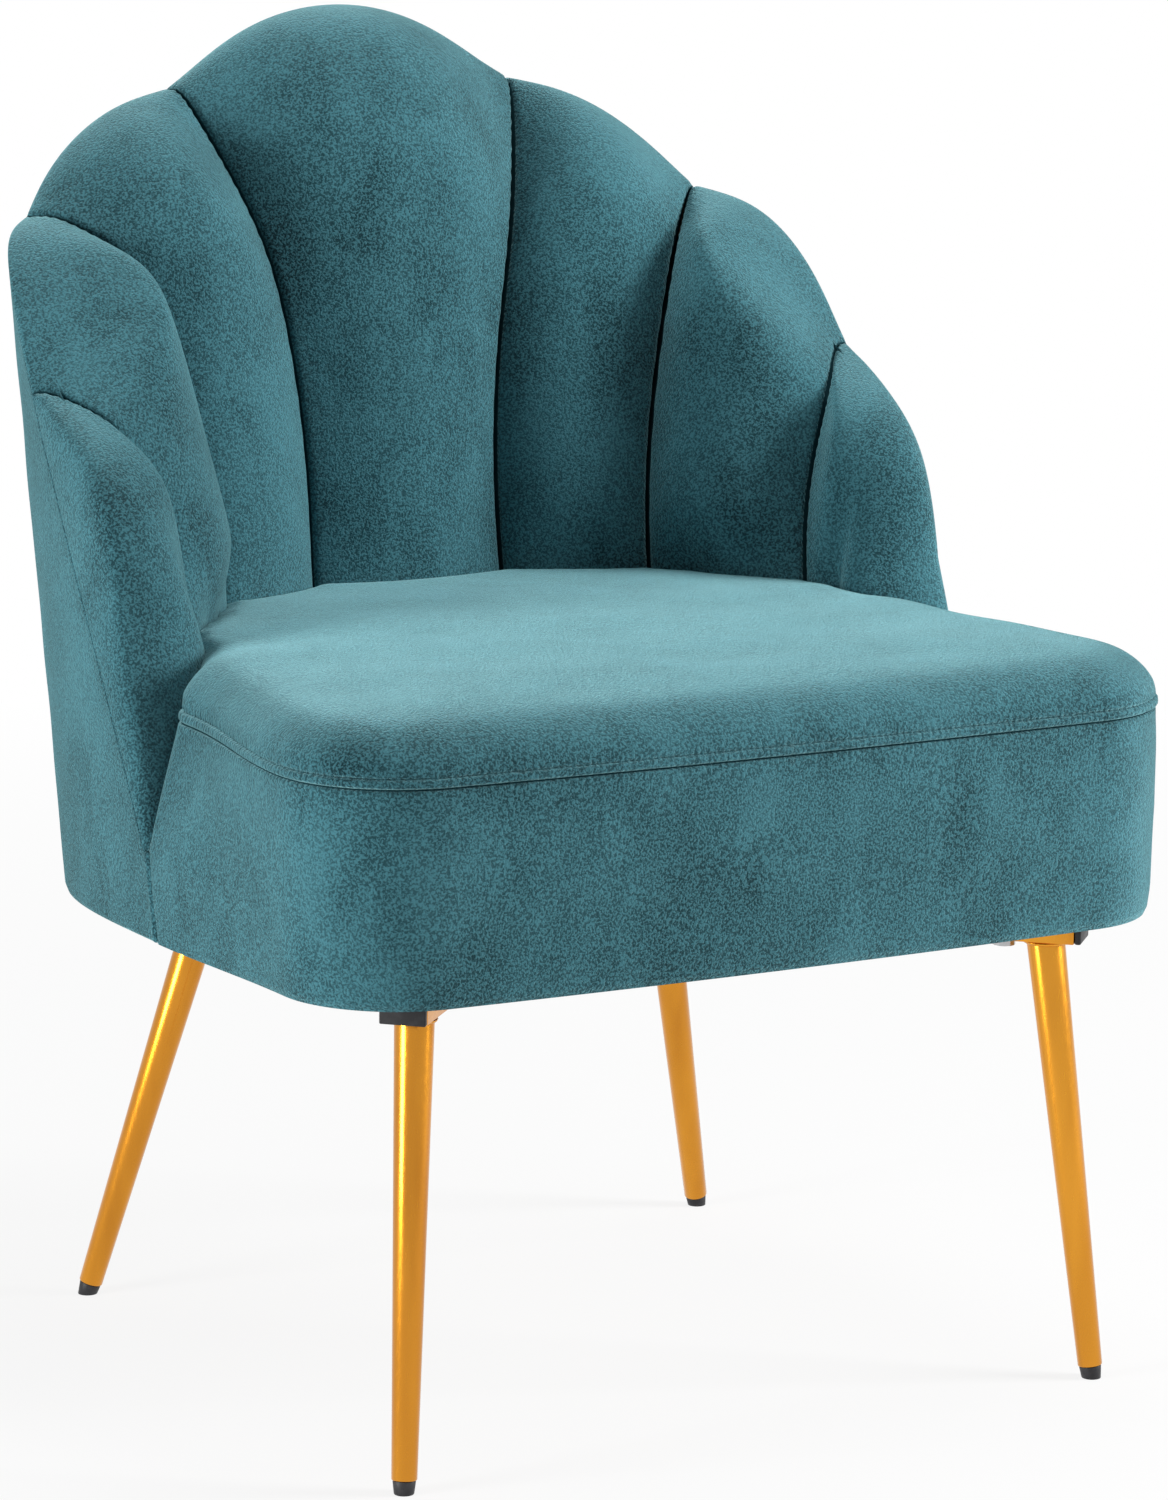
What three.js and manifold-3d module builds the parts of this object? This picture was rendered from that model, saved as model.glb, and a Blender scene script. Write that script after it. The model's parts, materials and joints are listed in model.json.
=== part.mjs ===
// Scallop back chair: a padded tub back of seven sewn channels round a crowned seat, on a
// welded base of crossed tubes with four splayed tapered legs.
// Millimetres, +Z up. The chair faces -Y. Left and right are as seen from the front.
// Shares are fractions of the size that they follow.

import * as THREE from "three";
import { mergeVertices } from "three/addons/utils/BufferGeometryUtils.js";
import Module from "manifold-3d";

const wasm = await Module();
wasm.setup();

// Driving sizes of the whole chair
const chair_height = 821;
const hem_height = 291.5;
const touch_gap = 0.3;
const seam_gap = 0.2;
const weld_tolerance = 1e-4;
const back_height = chair_height - hem_height;

// Plan of the back's outside: half a squared oval, leaning back with height
const shell_half_width = 300;
const shell_back_reach = 258;
const plan_exponent = 3.75;
const back_lean_share = 0.205;

// Scallops: where the sewn channels meet the outer edge and the seat, as shares of the
// half girth of the plan and of the back's height above the hem
const notch_girth_shares = [0.2552, 0.5259, 0.758];
const notch_height_shares = [0.9065, 0.7696, 0.588];
const rim_end_girth_shares = [0.184, 0.4987, 0.85];
const rim_end_height_shares = [0.709, 0.7115, 0.545];
const foot_girth_shares = [0.1457, 0.3566, 0.832];
const foot_height_share = 0.3088;
const seam_bow_shares = [-0.0174, -0.0292, -0.032];
const side_scallop_rise_shares = [0.0232, 0.0387];
const side_scallop_skew_shares = [-0.2, -0.3];
const valley_share = 0.35;

// Wing: the front channel, whose nose reaches past the edge seam
const wing_shoulder_shares = [0.862, 0.547];
const wing_brow_shares = [0.9838, 0.5203];
const wing_front_shares = [0.9571, 0.3503];
const wing_toe_girth_share = 0.996;
const edge_seam_bend_shares = [0.835, 0.42, 0.94, 0.23];
const edge_seam_toe_share = 0.984;
const wing_blend_share = 0.25;

// Padding of the back
const seam_rim_depths = [66.5, 75, 48];
const seam_foot_depths = [44.3, 82, 79];
const seam_pull_share = 0.85;
const wing_depth = 68;
const rim_crowns = [14, 12, 22, 4];
const foot_crowns = [20, 14, 22, 4];
const crown_sharpness = 2.2;
const rim_edge_radius = 4;
const rim_nose_depth = 23;
const wing_nose_depth = 14;
const wing_rim_drop = 34;
const wing_inner_shares = [0.895, 0.53, 0.918, 0.46, 0.905, 0.375];
const wing_heel_rise = 20;
const wing_aside_gaps = 3;

// Back shell and its outer cover
const cover_thickness = 3;
const ply_thickness = 11.7;
const ply_toe_setback = 8;
const rim_lip = 8;
const wing_lip_share = 0.55;

// Seat
const seat_side_inset = 2;
const seat_half_width = shell_half_width - seat_side_inset;
const seat_front_reach = 231;
const seat_corner_radius = 77;
const seat_seam_height = 425;
const crown_rise = 37;
const seat_edge_rise_share = 0.89;
const seat_crown_run = 40;
const seat_seam_draw = 3;
const seat_crown_draw = 1.2;
const seat_front_bow = 5;
const seat_heel_radius = 30;
const seat_heel_draw = 26;
const seat_tuck = 36;
const seat_side_tuck = 59;

// Timber frame inside the seat
const frame_height = 48.5;
const rail_thickness = 20;
const frame_side_play = 1.2;
const side_rail_back_reach = 70;
const rear_rail_side_inset = 173.2;
const block_front_reach = 128;
const block_side_reach = 89;
const block_rear_inset = 33;
const block_rear_reach = 170;
const block_edge_step = 8;

// Webbing
const strap_width = 50;
const strap_thickness = 1.6;
const strap_weave_gap = 0.5;
const strap_end_margin = 3;
const long_strap_pitch = 90;
const cross_strap_pitch = 75;
const cross_strap_centre = -30;

// Dust cover
const dust_thickness = 0.8;
const dust_inset = 4;

// Base of crossed rectangular tubes
const tube_width = 28;
const tube_height = 15;
const tube_wall = 1.5;
const tube_overhang = 20;
const plug_cap_thickness = 4;
const plug_spigot_length = 14;

// Legs, by how far their centres stand inside the frame's sides, its front and the back's
// reach, and how far their toes splay out from there
const front_leg_side_inset = 63;
const front_leg_front_inset = 39.8;
const front_leg_side_splay = 21.9;
const front_leg_front_splay = 30.3;
const rear_leg_side_inset = 118.9;
const rear_leg_back_inset = 54.9;
const rear_leg_side_splay = 66.4;
const rear_leg_back_splay = 49.6;
const leg_top_radius = 11.9;
const leg_toe_radius = 7.5;
const leg_wall = 1.4;
const glide_height = 8;
const glide_sole_radius = 5.8;
const glide_rim_radius = 6.9;
const glide_collar_height = 1.4;
const glide_stem_length = 14;

// Bolts that hold the base to the frame, and their tee nuts
const bolt_inboard = 26;
const bolt_radius = 4;
const bolt_head_radius = 7;
const bolt_head_height = 5;
const bolt_top_margin = 3;
const nut_flange_radius = 11;
const nut_flange_thickness = 1.5;
const nut_barrel_radius = 5.5;
const nut_barrel_length = 14;

// Countersunk screws that hold the shell to the frame
const screw_radius = 2.4;
const screw_head_radius = 4.8;
const screw_head_height = 3;
const screw_length = 30;
const screw_height_share = 0.5;
const screw_sink = 1.6;
const screw_girth_shares = [0.165, 0.9, 0.97];

// Counts
const plan_steps = 400;
const pad_columns = [13, 9, 11, 15];
const rim_outer_steps = 2;
const rim_inner_steps = 6;
const face_steps = 5;
const shell_rows = 4;
const corner_steps = 6;
const side_steps = 4;
const heel_steps = 3;
const tuck_steps = 9;
const round_sides = 20;
const small_sides = 12;

// Heights worked out from the sizes above
const lean_start = hem_height;
const dust_base = hem_height;
const frame_base = dust_base + dust_thickness + touch_gap;
const frame_top = frame_base + frame_height;
const strap_level = frame_top + touch_gap + strap_thickness / 2;
const strap_rise = strap_thickness + strap_weave_gap;
const deck_height = strap_level + strap_rise + strap_thickness / 2 + touch_gap;
const tube_top = dust_base - touch_gap;
const tube_base = tube_top - tube_height;
const ply_face = cover_thickness + touch_gap;
const ply_back = ply_face + ply_thickness;
const pad_back = ply_back + 2 * touch_gap;
const wing_lip_depth = cover_thickness - touch_gap;
const scallop_lip_depth = cover_thickness + 3 * touch_gap;
const frame_half_width = shell_half_width - pad_back - frame_side_play;
const wrap = seat_half_width - frame_half_width;
const frame_front_reach = seat_front_reach - wrap;
const frame_corner_radius = seat_corner_radius - wrap;
const rear_rail_half_girth = frame_half_width - rear_rail_side_inset;
const front_leg_x = frame_half_width - front_leg_side_inset;
const front_leg_y = front_leg_front_inset - frame_front_reach;
const front_leg_top = new THREE.Vector2(front_leg_x, front_leg_y);
const front_leg_toe = new THREE.Vector2(
  front_leg_x + front_leg_side_splay,
  front_leg_y - front_leg_front_splay,
);
const rear_leg_x = frame_half_width - rear_leg_side_inset;
const rear_leg_y = shell_back_reach - rear_leg_back_inset;
const rear_leg_top = new THREE.Vector2(rear_leg_x, rear_leg_y);
const rear_leg_toe = new THREE.Vector2(
  rear_leg_x + rear_leg_side_splay,
  rear_leg_y + rear_leg_back_splay,
);

// Materials
const velvet = { color: 0x2f6f78, roughness: 0.85, metalness: 0 };
const gold = { color: 0xd9952b, roughness: 0.28, metalness: 1 };
const steel = { color: 0xa9adb2, roughness: 0.35, metalness: 1 };
const black_plastic = { color: 0x141416, roughness: 0.5, metalness: 0 };
const black_cloth = { color: 0x1b1b1d, roughness: 0.95, metalness: 0 };
const timber = { color: 0xc59a63, roughness: 0.7, metalness: 0 };
const plywood = { color: 0xcfae7c, roughness: 0.65, metalness: 0 };
const webbing = { color: 0x7d6a4c, roughness: 0.9, metalness: 0 };

const chair = new THREE.Group();

function addPiece(name, geometry, finish, parent = chair) {
  const mesh = new THREE.Mesh(geometry, new THREE.MeshStandardMaterial(finish));
  mesh.name = name;
  parent.add(mesh);
  return mesh;
}

// Solids for cutting and joining

function solidFrom(geometry) {
  const bare = geometry.clone();
  bare.deleteAttribute("normal");
  bare.deleteAttribute("uv");
  const merged = mergeVertices(bare, weld_tolerance);
  return new wasm.Manifold(
    new wasm.Mesh({
      numProp: 3,
      vertProperties: merged.attributes.position.array,
      triVerts: new Uint32Array(merged.index.array),
    }),
  );
}

function geometryFrom(solid) {
  const mesh = solid.getMesh();
  const geometry = new THREE.BufferGeometry();
  geometry.setAttribute("position", new THREE.BufferAttribute(mesh.vertProperties, 3));
  geometry.setIndex(new THREE.BufferAttribute(mesh.triVerts, 1));
  geometry.computeVertexNormals();
  return geometry;
}

function cut(geometry, ...tools) {
  let solid = solidFrom(geometry);
  for (const tool of tools) solid = solid.subtract(solidFrom(tool));
  return geometryFrom(solid);
}

function join(first, second) {
  return geometryFrom(solidFrom(first).add(solidFrom(second)));
}

// A geometry from points and triangles
function meshOf(points, triangles) {
  const geometry = new THREE.BufferGeometry();
  const flat = points.flatMap((p) => [p.x, p.y, p.z]);
  geometry.setAttribute("position", new THREE.Float32BufferAttribute(flat, 3));
  geometry.setIndex(triangles);
  geometry.computeVertexNormals();
  return geometry;
}

// A closed sheet between two grids of points; front faces are on the side where rows run
// down and columns run to the right. A balanced sheet mirrors its triangles at the middle.
function sheet(front, back, balanced = false) {
  const rows = front.length;
  const columns = front[0].length;
  const points = [...front.flat(), ...back.flat()];
  const triangles = [];
  const f = (r, c) => r * columns + c;
  const b = (r, c) => rows * columns + r * columns + c;
  const quad = (p, q, s, t) => triangles.push(p, q, s, p, s, t);
  for (let r = 0; r < rows - 1; r++) {
    for (let c = 0; c < columns - 1; c++) {
      const near = [f(r, c), f(r + 1, c), f(r + 1, c + 1), f(r, c + 1)];
      const far = [b(r, c), b(r, c + 1), b(r + 1, c + 1), b(r + 1, c)];
      const turn = balanced && 2 * c < columns - 1;
      for (const face of [near, far]) {
        if (turn) face.push(face.shift());
        quad(...face);
      }
    }
  }
  for (let r = 0; r < rows - 1; r++) {
    quad(b(r, 0), b(r + 1, 0), f(r + 1, 0), f(r, 0));
    const last = columns - 1;
    quad(f(r + 1, last), b(r + 1, last), b(r, last), f(r, last));
  }
  for (let c = 0; c < columns - 1; c++) {
    quad(f(0, c), f(0, c + 1), b(0, c + 1), b(0, c));
    const last = rows - 1;
    quad(f(last, c), b(last, c), b(last, c + 1), f(last, c + 1));
  }
  return meshOf(points, triangles);
}

// A closed loft through rings of points that run anticlockwise seen from above, lowest first
function loft(rings) {
  const count = rings[0].length;
  const points = rings.flat();
  const triangles = [];
  for (let r = 0; r < rings.length - 1; r++) {
    for (let i = 0; i < count; i++) {
      const j = (i + 1) % count;
      const a = r * count + i;
      const b = r * count + j;
      triangles.push(a, b, b + count, a, b + count, a + count);
    }
  }
  const flat = (ring) => ring.map((p) => new THREE.Vector2(p.x, p.y));
  const top = (rings.length - 1) * count;
  for (const [a, b, c] of THREE.ShapeUtils.triangulateShape(flat(rings[0]), [])) {
    triangles.push(a, c, b);
  }
  for (const [a, b, c] of THREE.ShapeUtils.triangulateShape(flat(rings.at(-1)), [])) {
    triangles.push(top + a, top + b, top + c);
  }
  return meshOf(points, triangles);
}

// The same shape on the other side of the middle plane, still facing out
function mirrored(geometry) {
  const copy = geometry.index ? geometry.toNonIndexed() : geometry.clone();
  const position = copy.getAttribute("position");
  for (let i = 0; i < position.count; i += 3) {
    const second = new THREE.Vector3().fromBufferAttribute(position, i + 1);
    const third = new THREE.Vector3().fromBufferAttribute(position, i + 2);
    position.setXYZ(i + 1, third.x, third.y, third.z);
    position.setXYZ(i + 2, second.x, second.y, second.z);
  }
  copy.scale(-1, 1, 1);
  copy.computeVertexNormals();
  return copy;
}

// The plan curve, tabulated by distance round it from the middle of the back

const plan_table = [];
for (let i = 0; i <= plan_steps; i++) {
  const turn = (Math.PI / 2) * (i / plan_steps);
  const x = shell_half_width * Math.sin(turn) ** (2 / plan_exponent);
  const y = shell_back_reach * Math.max(Math.cos(turn), 0) ** (2 / plan_exponent);
  const last = plan_table.at(-1);
  const girth = last ? last.girth + Math.hypot(x - last.x, y - last.y) : 0;
  plan_table.push({ x, y, girth });
}
const half_girth = plan_table.at(-1).girth;

function planAt(girth) {
  const side = girth < 0 ? -1 : 1;
  const along = Math.min(Math.abs(girth), half_girth);
  const past = Math.abs(girth) - along;
  const found = plan_table.findIndex((entry) => entry.girth >= along);
  const next = Math.max(found, 1);
  const a = plan_table[next - 1];
  const b = plan_table[next];
  const share = (along - a.girth) / (b.girth - a.girth);
  const x = a.x + (b.x - a.x) * share;
  const y = a.y + (b.y - a.y) * share;
  const slope_x = (x / shell_half_width) ** (plan_exponent - 1) / shell_half_width;
  const slope_y = (y / shell_back_reach) ** (plan_exponent - 1) / shell_back_reach;
  const size = Math.hypot(slope_x, slope_y);
  return {
    x: side * x,
    y: y - past,
    out_x: (side * slope_x) / size,
    out_y: slope_y / size,
  };
}

// A point of the back at a distance round it, a height, and a depth in from its outside
function shellPoint(girth, height, depth) {
  const plan = planAt(girth);
  return new THREE.Vector3(
    plan.x - plan.out_x * depth,
    plan.y - plan.out_y * depth + back_lean_share * (height - lean_start),
    height,
  );
}

// Places on the back as (girth, height) pairs
function onBack(girth_share, height_share) {
  return new THREE.Vector2(
    girth_share * half_girth,
    hem_height + height_share * back_height,
  );
}

// The left seam of the centre channel, then the three seams to its right
function seamSpots(girth_shares, height_shares) {
  const right = girth_shares.map((share, i) => onBack(share, height_shares[i]));
  return [new THREE.Vector2(-right[0].x, right[0].y), ...right];
}

const mirroredSpot = (spot) => new THREE.Vector2(-spot.x, spot.y);
const bothSides = (values, side = 1) => [values[0] * side, ...values];
const foot_height_shares = foot_girth_shares.map(() => foot_height_share);
const notches = seamSpots(notch_girth_shares, notch_height_shares);
const rim_ends = seamSpots(rim_end_girth_shares, rim_end_height_shares);
const feet = seamSpots(foot_girth_shares, foot_height_shares);
const bows = bothSides(seam_bow_shares, -1).map((share) => share * half_girth);
const rim_depths = bothSides(seam_rim_depths);
const foot_depths = bothSides(seam_foot_depths);
const side_rises = side_scallop_rise_shares.map((share) => share * back_height);
const scallop_rises = [chair_height - notches[1].y, ...side_rises];
const scallop_skews = [0, ...side_scallop_skew_shares];
const wing_toe = new THREE.Vector2(wing_toe_girth_share * half_girth, deck_height);
const edge_toe = new THREE.Vector2(edge_seam_toe_share * half_girth, deck_height);

const at = (x, y, z) => new THREE.Vector3(x, y, z);
const mix = (a, b, share) => a + (b - a) * share;
const mixPoints = (a, b, share) => a.clone().lerp(b, share);
const ease = (share) => share * share * (3 - 2 * share);

// The normal of the line between two places, turned towards the inside of the back
function inwardNormal(start, end) {
  return new THREE.Vector2(end.y - start.y, start.x - end.x).normalize();
}

// The direction across the rim at a seam, halfway between those of its two channels
function acrossRim(seam) {
  const line = [mirroredSpot(notches[2]), ...notches, onBack(...wing_shoulder_shares)];
  const before = inwardNormal(line[seam], line[seam + 1]);
  return before.add(inwardNormal(line[seam + 1], line[seam + 2])).normalize();
}

// Where the sewn line between two channels reaches a height below its rim
function seamSpot(seam, height) {
  const run = (rim_ends[seam].y - height) / (rim_ends[seam].y - feet[seam].y);
  const along = Math.min(run, 1);
  const spot = mixPoints(rim_ends[seam], feet[seam], along);
  spot.x += bows[seam] * 4 * along * (1 - along);
  spot.y = height;
  return { spot, depth: mix(rim_depths[seam], foot_depths[seam], along) };
}

// The same line in the plane of the spots, from the end of the rim (0) to the deck (1)
function spotDown(seam, down) {
  return seamSpot(seam, mix(rim_ends[seam].y, deck_height, down)).spot;
}

// The sewn line in space, from the end of the rim (0) down to the seat's deck (1)
function seamInSpace(seam, down) {
  const { spot, depth } = seamSpot(seam, mix(rim_ends[seam].y, deck_height, down));
  return shellPoint(spot.x, spot.y, depth);
}

// How far a channel's crown stands out, across its width
function crownAt(share) {
  return 1 - Math.min(Math.abs(2 * share - 1), 1) ** crown_sharpness;
}

// One section of a scalloped channel, from the outer edge over the rim to the seat deck.
// Between its two seams the face runs straight across and swells out as a crown.
function scallopSection(scallop, share, grow) {
  const start = notches[scallop];
  const end = notches[scallop + 1];
  const outwards = inwardNormal(start, end).negate();
  const off = 2 * share - 1;
  const swell = (1 - off ** 2) * (1 - valley_share * off ** 4);
  const rise = scallop_rises[scallop] * swell * (1 + scallop_skews[scallop] * off);
  const nose = mixPoints(start, end, share).addScaledVector(outwards, rise);
  const inward = mixPoints(acrossRim(scallop), acrossRim(scallop + 1), share);
  inward.normalize();
  const edge = nose.clone().addScaledVector(inward, rim_edge_radius + grow);
  const lip = edge.clone().addScaledVector(inward, rim_lip);
  nose.addScaledVector(inward, -grow);
  const facePoint = (down) => {
    const left = seamInSpace(scallop, down);
    const right = seamInSpace(scallop + 1, down);
    const inwards = at(right.y - left.y, left.x - right.x, 0).normalize();
    const crown = mix(rim_crowns[scallop], foot_crowns[scallop], down) * crownAt(share);
    const point = left.lerp(right, share).addScaledVector(inwards, crown + grow);
    point.z += rise * outwards.y * (1 - down);
    return point;
  };
  const backSpot = (down) => mixPoints(spotDown(scallop, down), spotDown(scallop + 1, down), share);
  const nose_depth = rim_nose_depth;
  const lip_depth = scallop_lip_depth;
  const pull = seam_pull_share * (1 - crownAt(share));
  return section({ edge, nose, lip, lip_depth, facePoint, backSpot, grow, nose_depth, pull });
}

// The wing's outline, its edge seam and the inner end of its rim, from notch to toe
const wing_front = onBack(...wing_front_shares);
const wing_nose_line = new THREE.CurvePath();
wing_nose_line.add(
  new THREE.CubicBezierCurve(
    notches[3],
    onBack(...wing_shoulder_shares),
    onBack(...wing_brow_shares),
    wing_front,
  ),
);
wing_nose_line.add(new THREE.LineCurve(wing_front, wing_toe));
const wing_edge_line = new THREE.CubicBezierCurve(
  notches[3],
  onBack(...edge_seam_bend_shares.slice(0, 2)),
  onBack(...edge_seam_bend_shares.slice(2)),
  edge_toe,
);
const wing_heel = new THREE.Vector2(
  wing_toe.x - wing_rim_drop,
  deck_height + wing_heel_rise,
);
const wing_inner_end = onBack(...wing_inner_shares.slice(4));
const wing_inner_line = new THREE.CurvePath();
wing_inner_line.add(
  new THREE.CubicBezierCurve(
    rim_ends[3],
    onBack(...wing_inner_shares.slice(0, 2)),
    onBack(...wing_inner_shares.slice(2, 4)),
    wing_inner_end,
  ),
);
wing_inner_line.add(new THREE.LineCurve(wing_inner_end, wing_heel));

// One section of the wing, from the edge seam round its nose to the inside and the deck
function wingSection(share, grow) {
  const open = Math.min(share / wing_blend_share, 1);
  const blend = ease(open);
  const seam_inward = acrossRim(3);
  const nose = wing_nose_line.getPointAt(share);
  const edge = wing_edge_line.getPointAt(share);
  edge.addScaledVector(seam_inward, rim_edge_radius * (1 - blend));
  const lip_at_notch = edge.clone().addScaledVector(seam_inward, rim_lip);
  const lip = mixPoints(lip_at_notch, mixPoints(nose, edge, wing_lip_share), blend);
  const inner = wing_inner_line.getPointAt(share);
  const inwards = inner.clone().sub(nose).normalize();
  nose.addScaledVector(inwards, -grow);
  lip.addScaledVector(inwards, grow);
  const crown = rim_crowns[3] * (1 - (1 - open) ** crown_sharpness) + grow;
  const rim_depth = mix(rim_depths[3], wing_depth, blend) + crown;
  const foot_depth = mix(foot_depths[3], wing_depth, blend) + crown;
  const front_foot = new THREE.Vector2(wing_heel.x, deck_height);
  const back_foot = mixPoints(seamSpot(3, deck_height).spot, front_foot, share);
  const rim_end = shellPoint(inner.x, inner.y, rim_depth);
  const foot = shellPoint(back_foot.x, back_foot.y, foot_depth);
  const seam_rim_end = seamInSpace(3, 0);
  const seam_foot = seamInSpace(3, 1);
  const facePoint = (down) => {
    const bow = seamInSpace(3, down).sub(seam_rim_end.clone().lerp(seam_foot, down));
    return rim_end.clone().lerp(foot, down).addScaledVector(bow, (1 - share) ** 2);
  };
  const backSpot = (down) => {
    const bow = spotDown(3, down).sub(mixPoints(spotDown(3, 0), spotDown(3, 1), down));
    return mixPoints(inner, back_foot, down).addScaledVector(bow, (1 - share) ** 2);
  };
  const nose_depth = mix(rim_nose_depth, wing_nose_depth, blend);
  const lip_depth = mix(scallop_lip_depth, wing_lip_depth, blend);
  const pull = seam_pull_share * (1 - open) ** crown_sharpness;
  return section({ edge, nose, lip, lip_depth, facePoint, backSpot, grow, nose_depth, pull });
}

// The points of a section: round the outer quarter, the inner quarter and down the face,
// with the back points that lie against the shell. The pull is how far the thread flattens
// the inner quarter beside a seam.
function section({ edge, nose, lip, lip_depth, facePoint, backSpot, grow, nose_depth, pull }) {
  const front = [];
  for (let i = 0; i < rim_outer_steps; i++) {
    const turn = (Math.PI / 2) * (i / rim_outer_steps);
    const spot = mixPoints(edge, nose, Math.sin(turn));
    front.push(shellPoint(spot.x, spot.y, nose_depth * (1 - Math.cos(turn)) - grow));
  }
  const top = shellPoint(nose.x, nose.y, nose_depth);
  const plan = planAt(nose.x);
  const run = facePoint(0).sub(top);
  const through = at(-plan.out_x, -plan.out_y, 0);
  through.multiplyScalar(run.dot(through));
  const down_run = run.clone().sub(through);
  for (let i = 0; i <= rim_inner_steps; i++) {
    const turn = (Math.PI / 2) * (i / rim_inner_steps);
    const point = top.clone().addScaledVector(through, Math.sin(turn));
    point.addScaledVector(down_run, 1 - Math.cos(turn));
    front.push(point.lerp(top.clone().addScaledVector(run, i / rim_inner_steps), pull));
  }
  for (let i = 1; i <= face_steps; i++) front.push(facePoint(i / face_steps));
  const back = [edge, lip].map((spot) => shellPoint(spot.x, spot.y, lip_depth));
  for (let i = 0; i <= rim_inner_steps + face_steps; i++) {
    const behind_rim = mixPoints(lip, backSpot(0), i / rim_inner_steps);
    const spot = i < rim_inner_steps ? behind_rim : backSpot((i - rim_inner_steps) / face_steps);
    back.push(shellPoint(spot.x, spot.y, pad_back - 2 * grow));
  }
  return { edge, lip, front, back };
}

// A step from the wing's seam towards the middle channel, square to the seam
function besideWingSeam(step) {
  const run = rim_ends[3].clone().sub(notches[3]).normalize();
  const spot = notches[3].clone().add(new THREE.Vector2(run.y, -run.x).multiplyScalar(step));
  return shellPoint(spot.x, spot.y, 0).sub(shellPoint(notches[3].x, notches[3].y, 0));
}

// The sections of one channel, kept a small gap inside its two seams
function sectionsOf(channel, grow = 0) {
  const width = channel < 3 ? notches[channel].distanceTo(notches[channel + 1]) : half_girth;
  const inset = (seam_gap - grow) / width;
  const count = pad_columns[channel];
  const sections = [];
  for (let i = 0; i < count; i++) {
    const share = i / (count - 1);
    if (channel < 3) {
      sections.push(scallopSection(channel, mix(inset, 1 - inset, share), grow));
    } else {
      sections.push(wingSection(mix(Math.max(inset, 0), 1, share), grow));
    }
  }
  if (channel === 3 && grow > 0) {
    const aside = besideWingSeam(wing_aside_gaps * grow);
    [...sections[0].front, ...sections[0].back].forEach((point) => point.add(aside));
    const below = at(0, -grow, -2 * grow);
    [...sections.at(-1).front, ...sections.at(-1).back].forEach((point) => point.add(below));
  }
  return sections;
}

// Rows run from the edge to the deck, and columns from left to right seen from the seat
function padGeometry(channel, grow) {
  const sections = sectionsOf(channel, grow);
  const rows = sections[0].front.length;
  const grid = (side) =>
    Array.from({ length: rows }, (_, r) => sections.map((section) => section[side][r]));
  return sheet(grid("front"), grid("back"), channel === 0);
}

const pads = [0, 1, 2, 3].map((channel) => padGeometry(channel, 0));
const grown_pads = [0, 1, 2, 3].map((channel) => padGeometry(channel, touch_gap));
const right_pads = [pads[1], cut(pads[2], grown_pads[3]), pads[3]];
addPiece("back_channel_centre", pads[0], velvet);
["inner", "middle", "wing"].forEach((place, i) => {
  addPiece("back_channel_" + place + "_right", right_pads[i], velvet);
  addPiece("back_channel_" + place + "_left", mirrored(right_pads[i]), velvet);
});

// A line round the whole back, such as the edge seam, from the left toe to the right
function lineRoundBack(key) {
  const right = [];
  for (let channel = 0; channel < 4; channel++) {
    const sections = sectionsOf(channel);
    const half = (sections.length - 1) / 2;
    const used = channel === 0 ? sections.slice(half) : sections.slice(1);
    right.push(...used.map((section) => section[key].clone()));
  }
  const left = right.slice(1).map((spot) => new THREE.Vector2(-spot.x, spot.y));
  return [...left.reverse(), ...right];
}

// The same line drawn in, square to its run
function drawnIn(line, gap) {
  return line.map((spot, i) => {
    const before = line[Math.max(i - 1, 0)];
    const after = line[Math.min(i + 1, line.length - 1)];
    return spot.clone().addScaledVector(inwardNormal(before, after), gap);
  });
}

// A curved panel under such a line, between two depths, from a base height; its columns
// stand on the base in step with the distance along the line
function shellPanel(line, toe_girth, base, outer_depth, inner_depth) {
  const toe_top = deck_height - 2 * touch_gap;
  const edge = [
    new THREE.Vector2(-toe_girth, toe_top),
    ...line,
    new THREE.Vector2(toe_girth, toe_top),
  ];
  const runs = [0];
  for (let i = 1; i < edge.length; i++) runs.push(runs[i - 1] + edge[i].distanceTo(edge[i - 1]));
  const feet_line = runs.map((run) => {
    const share = run / runs.at(-1);
    return new THREE.Vector2(toe_girth * (2 * share - 1), base);
  });
  const grid = (depth) =>
    Array.from({ length: shell_rows + 1 }, (_, r) =>
      edge.map((spot, i) => {
        const place = mixPoints(spot, feet_line[i], r / shell_rows);
        return shellPoint(place.x, place.y, depth);
      }),
    );
  return sheet(grid(inner_depth), grid(outer_depth), true);
}

// Outer cover: velvet over thin wadding, from the hem up to the edge seam
const cover_line = drawnIn(lineRoundBack("edge"), 2 * touch_gap);
addPiece(
  "outer_cover",
  shellPanel(cover_line, wing_toe.x, hem_height, 0, cover_thickness),
  velvet,
);

// Back shell: bent plywood that the channels are fixed to
const shell_toe = wing_toe.x - ply_toe_setback;
const shell_line = drawnIn(lineRoundBack("lip"), 2 * touch_gap).map((spot) => {
  const girth = Math.min(Math.abs(spot.x), shell_toe);
  return new THREE.Vector2(Math.sign(spot.x) * girth, spot.y);
});
const shell_blank = shellPanel(shell_line, shell_toe, frame_base, ply_face, ply_back);

// Timber frame: rails and corner blocks

// An upright prism on points given by a function of height, anticlockwise from above
function uprightPrism(outline, base, top) {
  return loft([base, top].map((height) => outline(height)));
}

function plainRail(x0, x1, y0, y1) {
  const outline = (z) => [at(x0, y0, z), at(x1, y0, z), at(x1, y1, z), at(x0, y1, z)];
  return uprightPrism(outline, frame_base, frame_top);
}

const corner_x = frame_half_width - frame_corner_radius;
const corner_y = -frame_front_reach + frame_corner_radius;
const rail_inner_x = frame_half_width - rail_thickness;
const rail_inner_y = -frame_front_reach + rail_thickness;

addPiece(
  "front_rail",
  plainRail(-corner_x + touch_gap, corner_x - touch_gap, -frame_front_reach, rail_inner_y),
  timber,
);

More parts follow.
